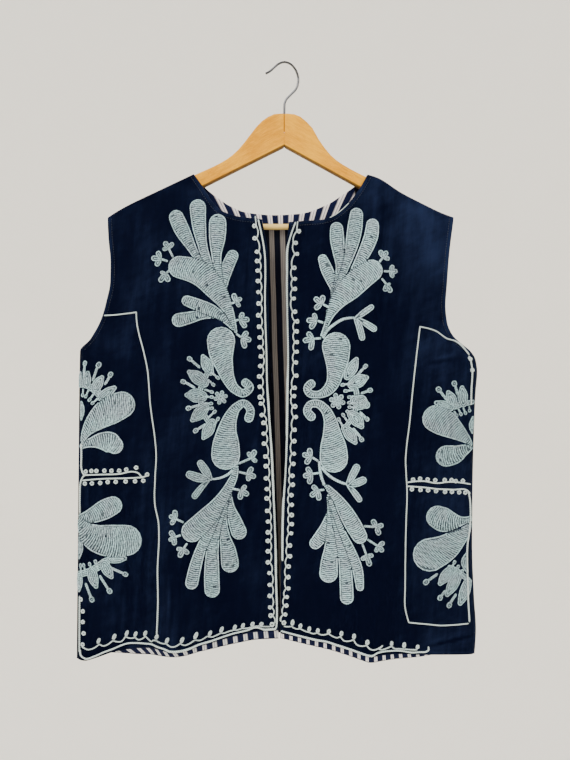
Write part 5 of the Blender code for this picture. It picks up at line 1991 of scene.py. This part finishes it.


LEFT_SIDE = SideDrawing(
    flowers=(
        (form((10, 540, 2.75), (17, 524.5, 7.75), (34, 506, 16), (51, 494, 20.25), (67.5, 486, 19.25),
              slant=-0.50, bulge=0.12),
         form((10, 544.5, 4.5), (25.5, 539, 7.5), (40, 537, 12.5), (53, 539.5, 14.75),
              (58.5, 543, 12.25)),
         ringed((16, 457, 6.5), (17, 447.5, 6.5), (18, 441, 3.4)),
         ringed((29.5, 463, 7), (35, 453.5, 7.2), (39, 447.5, 3.6)),
         ringed((40, 475, 7.5), (49, 467.5, 6.8), (57, 462, 3.6)),
         ringed((3, 458, 4.5), (4, 448, 5), (5, 441, 3)),
         ringed((5, 458, 4.4), (13, 457.5, 4.6), (21, 460.5, 5), (30, 466, 5.5), (39, 475, 6)),
         ringed((8.5, 508, 1.5), (10, 492, 4.2), (8.5, 482, 2))),
        (form((7.5, 653, 8.5), (16, 663.5, 14), (32, 673.5, 19.6), (54, 677.5, 23),
              (75, 676.5, 22.25), bulge=0.18, tone=0.96),
         form((7, 648.5, 7), (18.5, 645.5, 9.2), (33, 639.5, 12.4), (45.5, 633, 14.2),
              (56.5, 627.5, 13.25), tone=0.94),
         ringed((54, 703.5, 5.5), (64, 703.5, 5.5), (73, 702, 3.6)),
         ringed((45, 711, 7), (50.5, 721, 7.2), (55, 728, 3.6)),
         ringed((27, 722, 7.5), (30.5, 734, 7.2), (33.5, 742, 3.6)),
         ringed((7, 727, 6), (7, 740, 6.5), (6.5, 749, 3.4)),
         ringed((5, 727, 4.5), (20, 722.5, 5), (35, 715, 5.5), (46, 707, 5.5), (56, 703, 5)),
         ringed((6.5, 671, 1.5), (9, 688, 5), (6.5, 704, 2)))),
    stamens=(
        (12, 446.5, 13, 430.5, 13.4, 427.5, 3),
        (26, 451, 31.5, 434.5, 33.8, 430, 3.75),
        (44, 456.5, 49.5, 446.5, 51, 443.5, 3.5),
        (55.5, 716, 69.5, 722.5, 74, 724.5, 3.25),
        (39, 727.5, 49.5, 743.5, 52.5, 748, 3.5),
        (18.5, 739, 25.5, 756, 27.5, 760.5, 3.5)),
    rays=(
        (11.5, 463, 10.5, 473), (20, 464.5, 15.5, 474.5), (29.5, 467.5, 21, 479.5),
        (33.5, 477, 25.5, 484), (36.5, 718, 32, 706.5), (27.5, 719.5, 23.5, 710.5),
        (18.5, 723, 14.5, 712.5), (11, 725, 9.5, 713)),
    fold_cords=(((9.5, 541), (10, 562), (10, 574), (12, 581.5), (16, 587)),
                ((16.5, 583.8), (11.5, 590), (8.5, 598), (7.5, 612), (8, 640)),
                ((9, 757), (9.3, 800), (9.6, 836))),
    fold_picots=((11, 761.5), (14.5, 778), (14.5, 793), (16, 809), (14.5, 825)),
    dividers=(((14, 585.5), (37, 584.3), (65, 583), (87, 580), (92, 581.8), (97, 587), (104, 584.5)),
              ((12, 593), (44, 590), (72, 589), (99, 587.5))),
    divider_dots=((17, 580.4), (25.5, 579.4), (32.7, 579.2), (44.2, 578.7), (54.2, 578.7), (65, 578.5),
                  (75, 576.8), (88.7, 574), (104, 583.5), (15.8, 597.4), (26.4, 596.8), (38.3, 596),
                  (49, 594.5), (60.3, 594.2), (74.2, 593.5), (87.3, 593), (98.7, 592.2)),
    frame=((254, 360), (238.5, 359.3), (222.5, 357.7), (208, 355.8), (207, 371), (204.1, 385.8),
           (199.2, 403.4), (195.3, 419.4), (192, 435.5), (189.6, 461), (188, 483.5), (185.5, 503),
           (181.8, 528.5), (179.5, 555), (181, 590), (181, 626), (175.9, 650), (175, 672),
           (176.7, 712), (176, 763), (177.6, 806)),
    stretch=1.025, shade=0.97)

RIGHT_SIDE = SideDrawing(
    flowers=(
        (form((7, 543, 2.75), (17.5, 533.5, 7), (32, 522.5, 13.25), (46, 513, 18.25), (60.5, 505, 19.25),
              slant=0.06, bulge=0.18),
         form((7, 546, 3.5), (19, 550, 8.5), (32, 556, 13.5), (44.5, 558, 15.25)),
         ringed((41, 490, 5.5), (51, 485.5, 5.8), (61, 483, 3.4)),
         ringed((37, 487, 6.5), (41, 476, 7.4), (45, 468.5, 3.6)),
         ringed((22.5, 484, 6), (24.5, 471, 7.4), (26, 461.5, 3.4)),
         ringed((41, 491, 4), (33, 488, 4.5), (25, 485, 4.5), (16, 483.5, 4), (7, 482, 3.5)),
         ringed((6.5, 527, 1.5), (8.5, 515, 5), (6.5, 504, 2.4))),
        (form((7.5, 655, 3.5), (15.5, 665, 8.5), (29, 676, 14.75), (44.5, 687.5, 19.5),
              (66.5, 696.5, 23.75), slant=-0.50, bulge=0.08),
         form((7.5, 648, 5), (20.5, 650, 6.5), (32.5, 650.5, 12.5), (46, 648, 17.25), (55.5, 643.5, 16.25)),
         ringed((37, 718, 6.5), (46, 728, 8), (53.5, 737, 3.8)),
         ringed((28, 726, 7), (36.5, 741, 8), (44.3, 753, 3.8)),
         ringed((14, 738, 7), (20.5, 754, 7.8), (26.5, 766, 3.8)),
         ringed((39, 715, 4), (31, 719, 4.5), (23, 725, 4.5), (15, 731.5, 4), (9, 736, 3)),
         ringed((13, 695, 1.5), (17.5, 709, 5.2), (14, 721, 2.5)))),
    stamens=(
        (46, 479.5, 56, 467.5, 58.5, 464.5, 3.75),
        (32, 471, 36, 459, 37.5, 456, 3.5),
        (57.5, 724, 70, 732.5, 73, 734.5, 3.75),
        (47, 748, 53, 755, 54.5, 757, 3.5),
        (32, 753.5, 40, 764.5, 42, 768, 3.5)),
    rays=(
        (35.5, 495, 31.5, 501), (29.5, 492, 25.5, 499.5), (22.5, 490, 19, 498), (14, 488, 13, 494.5),
        (36.5, 715.5, 31.5, 707.5), (31, 719.5, 26.5, 714), (25, 726, 21, 720.5),
        (18.5, 732.5, 15, 729)),
    fold_cords=(((13, 417), (12.5, 450), (11, 486)),
                ((12, 608), (9, 621), (7.5, 638), (9.5, 664), (12.5, 684), (13.5, 710), (14, 739),
                 (14.5, 765), (15, 793))),
    fold_picots=((13, 421), (12.5, 437)),
    dividers=(((97.5, 594.5), (75, 593), (57.5, 596), (41, 594.5), (8.5, 598.5)),
              ((97.5, 600), (72, 602), (57.5, 604), (35, 605.5), (13, 607.5), (9, 612))),
    divider_dots=((89.8, 590.8), (80.3, 589.6), (69.9, 590.8), (59.4, 591.8), (46.2, 591.8),
                  (36.5, 592), (30.6, 593.6), (20.3, 593.4), (91.3, 604.2), (79.6, 605.2),
                  (69.1, 605.8), (58, 607), (45.5, 608.4), (35.8, 608.6), (25.4, 609.4), (16.5, 610)),
    frame=((261.4, 415.5), (239.9, 395.5), (230.4, 393), (213.4, 382), (190.9, 376), (186, 413),
           (179.5, 471), (175.5, 512.5), (171.5, 543.5), (170, 564), (170.5, 577.5), (172, 607),
           (170.5, 651.5), (169.5, 696), (169, 740.5), (169, 770), (174, 790), (196.9, 793),
           (221.9, 796), (233.9, 796), (259.9, 795)),
    stretch=1.04, shade=0.82)


# ---------------------------------------------------------------- worked pieces
def ellipse(centre: Pair, radii: Pair, turn_by: float = 0.0) -> Array:
    """Closed oval line: centre + (rx cos, ry sin), from the given angle."""
    angle = np.linspace(0.0, 2 * math.pi, 15) + turn_by
    return np.stack([centre[0] + radii[0] * np.cos(angle), centre[1] + radii[1] * np.sin(angle)], axis=-1)


@dataclass(frozen=True)
class Threads:
    """The three thread finishes."""
    thread: bpy.types.Material
    padding: bpy.types.Material
    cord: bpy.types.Material


def new_padding() -> Stitching:
    """Low closed cushions under the rows, ten points across."""
    v = (-1.0, -0.93, -0.66, -0.40, -0.13, 0.13, 0.40, 0.66, 0.93, 1.0)
    return Stitching(link=40.0, rise=0.3, profile=v, pinch=0.0,
                     lifts=(-0.3, 0.8, 1.0, 1.0, 1.0, 1.0, 1.0, 1.0, 0.8, -0.3))


def new_cords(shade: float = 1.0) -> Stitching:
    """Rows of couched cord: narrow, high and even."""
    return Stitching(link=2.7, rise=1.7, profile=(-1.0, -0.72, 0.0, 0.72, 1.0, 0.0),
                     lifts=(-0.25, 0.85, 1.15, 0.85, -0.25, -0.25), pinch=0.15, shade=shade)


def new_seams() -> Stitching:
    """Fine seam thread."""
    return Stitching(link=2.4, rise=0.34, pinch=0.10)


def thin_parts(stamens: Table, rays: Table) -> list[Motif]:
    """Stamens and the short knobbed rays."""
    made = [Motif(Stamen(stamen).forms()) for stamen in stamens]
    for root_x, root_y, tip_x, tip_y in rays:
        tip = (tip_x + (root_x - tip_x) * 0.15, tip_y + (root_y - tip_y) * 0.15)
        made.append(Motif((ringed((tip_x, tip_y, 2.9), (*tip, 2.7)),
                           line((root_x, root_y, 1.8), (*tip, 1.8)))))
    return made


@dataclass(frozen=True)
class FrontEmbroidery:
    """Plumes, paisleys, half flower and blossoms of one front, and its cords."""
    half: Half
    drawing: FrontDrawing

    def star(self) -> Motif:
        """Six petals about a heart: each petal's place is the heart plus a turned radius."""
        across, down, reach = self.drawing.star
        petals = []
        for angle in np.arange(6) * math.pi / 3 + 0.25:
            way = np.array([math.cos(angle), math.sin(angle)])
            wide = reach * 0.31
            petals.append(ringed(*[(across + way[0] * reach * share, down + way[1] * reach * share,
                                    wide * part) for share, part in ((0.16, 0.5), (0.45, 0.9), (0.69, 1.0))]))
        return Motif(tuple(petals))

    def motifs(self) -> dict[str, list[Motif]]:
        """The worked motifs by the piece they belong to."""
        drawing = self.drawing
        upper = [Motif(blossom.forms()) for blossom in drawing.blossoms[:6]]
        lower = [Motif(blossom.forms()) for blossom in drawing.blossoms[6:]]
        middle = [Motif((paisley,)) for paisley in drawing.paisleys]
        middle += [Motif(drawing.petals), self.star()]
        return {"upper_plume": [Motif(drawing.upper)] + upper,
                "paisleys": middle + thin_parts(drawing.stamens, drawing.rays),
                "lower_plume": [Motif(drawing.lower)] + lower}

    def cords(self) -> Stitching:
        """Edge cord, wave with picots, hem cord, scallops and their loops."""
        drawing, made = self.drawing, new_cords()
        for table in (drawing.edge_cord, drawing.hem_cord):
            path = flow(np.array(table, float), CORD_PITCH)
            path[:, 1] = np.minimum(path[:, 1], self.hem(path[:, 0]))
            made.row(path, THICK_CORD, self.light(path[:, 1]))
        picots = np.array(drawing.picots, float)
        joint, bulge = drawing.wave
        top = picots[0] - np.array([joint - 1.5, 14.0])
        arcs = [flow(np.array([top, picots[0] - np.array([joint, 0.0])]), CORD_PITCH)[:-1]]
        for near, far in zip(picots[:-1], picots[1:]):
            t = np.linspace(0.0, 1.0, 9)[:-1, None]
            arc = near * (1 - t) + far * t
            arc[:, 0] -= joint + bulge * np.sin(math.pi * t[:, 0])
            arcs.append(arc)
        wave = np.concatenate(arcs)
        made.row(wave, THIN_CORD, self.light(wave[:, 1]), rise=1.4)
        for number, (x, y) in enumerate(picots):
            size = 1.95 + 0.25 * float(scatter(number * 2.3))
            tall = size * (1.0 + 0.14 * float(scatter(number * 4.9)))
            made.row(ellipse((x, y), (size, tall)), 1.42, 1.04 * float(self.light(y)), taper=False)
        scallops = np.array(drawing.scallops, float)
        cusps = np.flatnonzero(scallops[:, 2] > 0.5)
        for start, end in zip(cusps[:-1], cusps[1:]):
            path = flow(scallops[start:end + 1, :2], 1.4)
            path[:, 1] = np.minimum(path[:, 1], self.hem(path[:, 0]) - HEM_CLEAR)
            made.row(path, THIN_CORD, drawing.loop_way[1], rise=1.4)
        for x, y, wide, tall in drawing.loops:
            loop = ellipse((x, y), (wide * 0.66, tall * 0.78), math.pi / 2)
            loop[:, 0] += drawing.loop_way[0] * (loop[:, 1] - y)
            made.row(loop, 1.34, drawing.loop_way[1], rise=1.5, taper=False)
        return made

    def hem(self, across: Array) -> Array:
        """Lowest place for a cord at each place across, a little above the hem's edge."""
        return -read(self.half.hem, across * MM) / MM - HEM_CLEAR

    def light(self, down: Array | float) -> Array:
        """Brightness of the cords at each height: painted shade above the place that dim gives."""
        value, first, last = self.drawing.dim
        return value + (1 - value) * step(np.asarray(down, float), first, last)

    def build(self, threads: Threads) -> None:
        """Lay every motif and cord on the front.

        Args:
            threads: the thread finishes.
        """
        side = self.half.side
        cloth = FrontCloth(self.half)
        for name, motifs in self.motifs().items():
            thread, padding = Stitching(shade=self.drawing.shade), new_padding()
            for motif in motifs:
                motif.work(thread, padding)
            thread.build(f"{name}_{side}", cloth, threads.thread)
            padding.build(f"{name}_{side}_padding", cloth, threads.padding)
        self.cords().build(f"edge_cords_{side}", cloth, threads.cord)


@dataclass(frozen=True)
class SidePanel:
    """Flowers, dividers and frame of one side panel, before and behind the side fold."""
    half: Half
    drawing: SideDrawing

    def flowers(self, threads: Threads) -> None:
        """The flowers, worked on the front and mirrored on the back.

        Args:
            threads: the thread finishes.
        """
        side = self.half.side
        for forwards, place in ((True, "front"), (False, "back")):
            thread, padding = Stitching(shade=self.drawing.shade), new_padding()
            for forms in self.drawing.flowers:
                Motif(forms).work(thread, padding)
            for motif in thin_parts(self.drawing.stamens, self.drawing.rays):
                motif.work(thread, padding)
            cloth = SideCloth(self.half, forwards, self.drawing.stretch)
            thread.build(f"side_flowers_{side}_{place}", cloth, threads.thread)
            padding.build(f"side_flowers_{side}_{place}_padding", cloth, threads.padding)
            cords = new_cords(self.drawing.shade ** 0.5)
            for table in self.drawing.fold_cords + self.drawing.dividers:
                cords.row(flow(np.array(table, float), CORD_PITCH), SIDE_CORD)
            for x, y in self.drawing.fold_picots + self.drawing.divider_dots:
                cords.row(ellipse((x, y), (2.0, 2.0)), 1.32, rise=1.6, taper=False)
            cords.build(f"side_cords_{side}_{place}", cloth, threads.cord)

    def frame(self, threads: Threads) -> None:
        """The straight cord frame on the front, and again on the back.

        Args:
            threads: the thread finishes.
        """
        side = self.half.side
        before, behind = new_cords(), new_cords()
        path = flow_cornered(np.array(self.drawing.frame, float), CORD_PITCH)
        before.row(path, FRAME_CORD, 0.92)
        behind.row(path * np.array([self.half.sign, 1.0]), FRAME_CORD, 0.92)
        before.build(f"frame_cord_{side}_front", FrontCloth(self.half), threads.cord)
        behind.build(f"frame_cord_{side}_back", BackCloth(), threads.cord)


@dataclass(frozen=True)
class Topstitching:
    """Running stitches a little inside the neckline and the armholes."""
    inset: float = 6.0
    pitch: float = 1.2
    places: int = 3            # a stitch's points; neighbours start as far apart
    half: float = 0.42
    rise: float = 0.34

    def along(self, made: Stitching, edge: Array, side: float) -> None:
        """Lay stitches beside an edge, each two pitches long and one pitch from the next.

        Args:
            made: takes the stitches.
            edge: places along the cloth's edge, in millimetres.
            side: which side of it they lie.
        """
        path = flow(edge, self.pitch)
        path = resample(path + across_of(path) * self.inset * side, self.pitch)
        for first in range(self.places, len(path) - 5, self.places):
            made.row(path[first:first + self.places], self.half, rise=self.rise)

    def edges(self, half: Half) -> tuple[Array, Array]:
        """The armhole from the tip to the underarm, and the half's neckline outwards."""
        z = np.linspace(half.tip[1], UNDERARM_Z + 0.004, 12)
        arm = np.stack([side_x(half, z), -z], axis=-1) / MM
        x = np.linspace(half.neck[0][0], half.neck_x, 9)
        return arm, np.stack([x, -read(half.neck, x)], axis=-1) / MM

    def build(self, finish: bpy.types.Material) -> None:
        """Both fronts, and the back with its neckline.

        Args:
            finish: the thread.
        """
        behind = new_seams()
        for half in (LEFT, RIGHT):
            made = new_seams()
            arm, neck = self.edges(half)
            self.along(made, arm, 1.0)
            self.along(made, neck, 1.0)
            side = half.side
            made.build(f"topstitching_{side}", FrontCloth(half), finish)
            self.along(behind, arm * np.array([half.sign, 1.0]), float(half.sign))
        x = np.linspace(-LEFT.neck_x, RIGHT.neck_x, 15)
        self.along(behind, np.stack([x, -read(BACK_NECK, x)], axis=-1) / MM, 1.0)
        behind.build("topstitching_back", BackCloth(), finish)

    @staticmethod
    def piping(finish: bpy.types.Material) -> None:
        """The pale edge of the facing that shows along part of the right neckline."""
        x = np.linspace(0.0640, 0.0910, 7)
        edge = np.stack([x, -read(RIGHT.neck, x)], axis=-1) / MM
        made = new_seams()
        made.row(flow(edge + np.array([0.0, 0.7]), 1.2), 0.62, rise=0.6)
        made.build("neck_piping", FrontCloth(RIGHT), finish)


# ---------------------------------------------------------------- hanger, stage and camera
@dataclass(frozen=True)
class Hanger:
    """Wooden hanger with its round bar and chrome hook; the solids' shapes are kept."""

    def dress(self, nodes: dict) -> None:
        """Give each solid its finish.

        Args:
            nodes: the frame's objects by name.
        """
        early, late = (0.730, 0.340, 0.014), (0.510, 0.200, 0.006)
        finishes = {
            "hanger_arm_left": Wood("wood_left", early, late, (0.0, -0.50, 0.0), fall=0.500),
            "hanger_arm_right": Wood("wood_right", early, late, (0.0, 0.52, 0.0), fall=0.550),
            "hanger_bar": Wood("pale_wood", (0.780, 0.570, 0.200), (0.600, 0.390, 0.110),
                               (0.0, 0.0, 0.0), 0.05, (14.0, 260.0, 260.0)),
            "hanger_hook": Chrome()}
        for name, finish in finishes.items():
            obj = nodes[name]
            made = finish.material()
            if obj.material_slots:
                obj.material_slots[0].material = made
            else:
                obj.data.materials.append(made)
            LOG.info("dressed %s", name)
        self.joint(finishes["hanger_arm_left"].material())

    def joint(self, finish: bpy.types.Material) -> bpy.types.Object:
        """Thin slip of wood glued between the arms, below the shank.

        Args:
            finish: its wood.
        Returns:
            The slip.
        """
        corners = np.array([(x, y, z) for z in (-0.1186, -0.1010) for y in (-0.0054, 0.0054)
                            for x in (-0.0010, 0.0010)])
        faces = np.array([(0, 2, 3, 1), (4, 5, 7, 6), (0, 1, 5, 4), (2, 6, 7, 3), (0, 4, 6, 2),
                          (1, 3, 7, 5)])
        slip = piece("hanger_joint", corners, faces, corners[:, [0, 2]], [finish])
        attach(slip, "root")
        return slip


@dataclass(frozen=True)
class Studio:
    """Pale bowl backdrop, soft lights and the camera."""
    floor_z: float = -2.4
    radius: float = 4.4
    cove: float = 1.0              # radius of the bend between floor and wall
    eye: Triple = (0.001, -1.525, -0.451)
    focal: float = 50.75           # in millimetres, on a sensor 36 mm high
    sky: Triple = (0.93, 0.95, 1.0)
    sky_strength: float = 1.36

    def backdrop(self) -> bpy.types.Object:
        """Floor, cove and wall: a profile turned about the upright axis."""
        bend = np.linspace(0.0, math.pi / 2, 9)
        flat = np.array([0.0, 1.2, 2.4, 3.2])
        r = np.concatenate([flat, self.radius - self.cove + self.cove * np.sin(bend),
                            [self.radius, self.radius]])
        z = np.concatenate([0.0 * flat, self.cove * (1.0 - np.cos(bend)), [4.0, 6.5]]) + self.floor_z
        around = np.linspace(0.0, 2 * math.pi, 97)[None, :]
        r, z = np.maximum(r, 0.001)[:, None], z[:, None]
        points = np.stack([r * np.cos(around), r * np.sin(around), z + 0 * around], axis=-1)
        faces = grid_faces(*points.shape[:2])[:, ::-1]
        uv = points[..., :2].reshape(-1, 2)
        wall = piece("backdrop", points.reshape(-1, 3), faces, uv, [Plaster().material()])
        return wall

    def lamp(self, name: str, place: Triple, aim: Triple, size: float, power: float,
             colour: Triple) -> None:
        """A soft square light aimed at a point.

        Args:
            name: its name.
            place: where it stands.
            aim: the point that it faces.
            size: length of its side.
            power: its power in watts.
            colour: its colour.
        """
        light = bpy.data.lights.new(name, "AREA")
        light.shape = "SQUARE"
        light.size = size
        light.energy = power
        light.color = colour
        obj = bpy.data.objects.new(name, light)
        bpy.context.scene.collection.objects.link(obj)
        from_to = np.array(aim) - np.array(place)
        flat = math.hypot(from_to[0], from_to[1])
        obj.location = place
        obj.rotation_euler = (math.atan2(flat, -from_to[2]), 0.0,
                              math.atan2(from_to[1], from_to[0]) - math.pi / 2)
        obj.visible_camera = False

    def lights(self) -> None:
        """A large soft key from the upper left, a weak fill and an even world."""
        self.lamp("key", (-1.7, -2.3, 1.6), (0.0, 0.0, -0.45), 2.2, 135.0, (1.0, 0.985, 0.96))
        self.lamp("fill", (2.2, -2.0, -0.2), (0.0, 0.0, -0.45), 2.4, 30.0, (0.94, 0.97, 1.0))
        self.lamp("rear", (0.6, 2.8, 1.4), (0.0, 0.0, -0.45), 2.4, 60.0, (1.0, 0.99, 0.97))
        world = bpy.data.worlds.new("soft_world")
        world.use_nodes = True
        back = world.node_tree.nodes["Background"]
        back.inputs["Color"].default_value = (*self.sky, 1.0)
        back.inputs["Strength"].default_value = self.sky_strength
        bpy.context.scene.world = world

    def camera(self) -> None:
        """Level camera before the fronts."""
        lens = bpy.data.cameras.new("camera")
        lens.sensor_fit = "VERTICAL"
        lens.sensor_height = 36.0
        lens.lens = self.focal
        lens.clip_end = 60.0
        obj = bpy.data.objects.new("camera", lens)
        obj.location = self.eye
        obj.rotation_euler = (math.pi / 2, 0.0, 0.0)
        bpy.context.scene.collection.objects.link(obj)
        bpy.context.scene.camera = obj


def main() -> None:
    """Load the frame and build each sub-assembly in order, logging the stitched pieces and the dressed
    solids.
    """
    logging.basicConfig(level=logging.INFO, format="%(name)s: %(message)s")
    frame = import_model()
    studio = Studio()
    studio.camera()
    studio.backdrop()
    studio.lights()
    Hanger().dress(frame["nodes"])
    velvet = Velvet().material()
    lining, facing, strip, *hems = (cotton.material() for cotton in COTTONS)
    back = Back()
    back.velvet_wall(velvet, lining)
    back.lining(lining)
    back.strip("neck_facing_strip", "neck_facing", np.linspace(*FACING_SPAN, 88),
               np.linspace(0.0, 1.0, 7), EDGE_TURN + GAP, FAN_HEIGHT, facing)
    back.strip("hem_strip_back", "hem_band_back", np.linspace(*INNER_SPAN, 130),
               np.linspace(-BACK_BAND_RISE, -0.0001, 7), VELVET + GAP, 0.0, strip)
    for half, lean, hem in ((LEFT, -1.0, hems[0]), (RIGHT, 0.15, hems[1])):
        front = Front(half)
        front.build(velvet, lining)
        FrontHemStrip(front, lean).build(hem)
    threads = Threads(Thread().material(), Padding().material(), Cord().material())
    for half, drawing, panel in ((LEFT, LEFT_DRAWING, LEFT_SIDE), (RIGHT, RIGHT_DRAWING, RIGHT_SIDE)):
        FrontEmbroidery(half, drawing).build(threads)
        side = SidePanel(half, panel)
        side.flowers(threads)
        side.frame(threads)
    seams = Topstitching()
    seams.build(SEAM_THREAD.material())
    seams.piping(threads.cord)


if __name__ == "__main__":
    main()
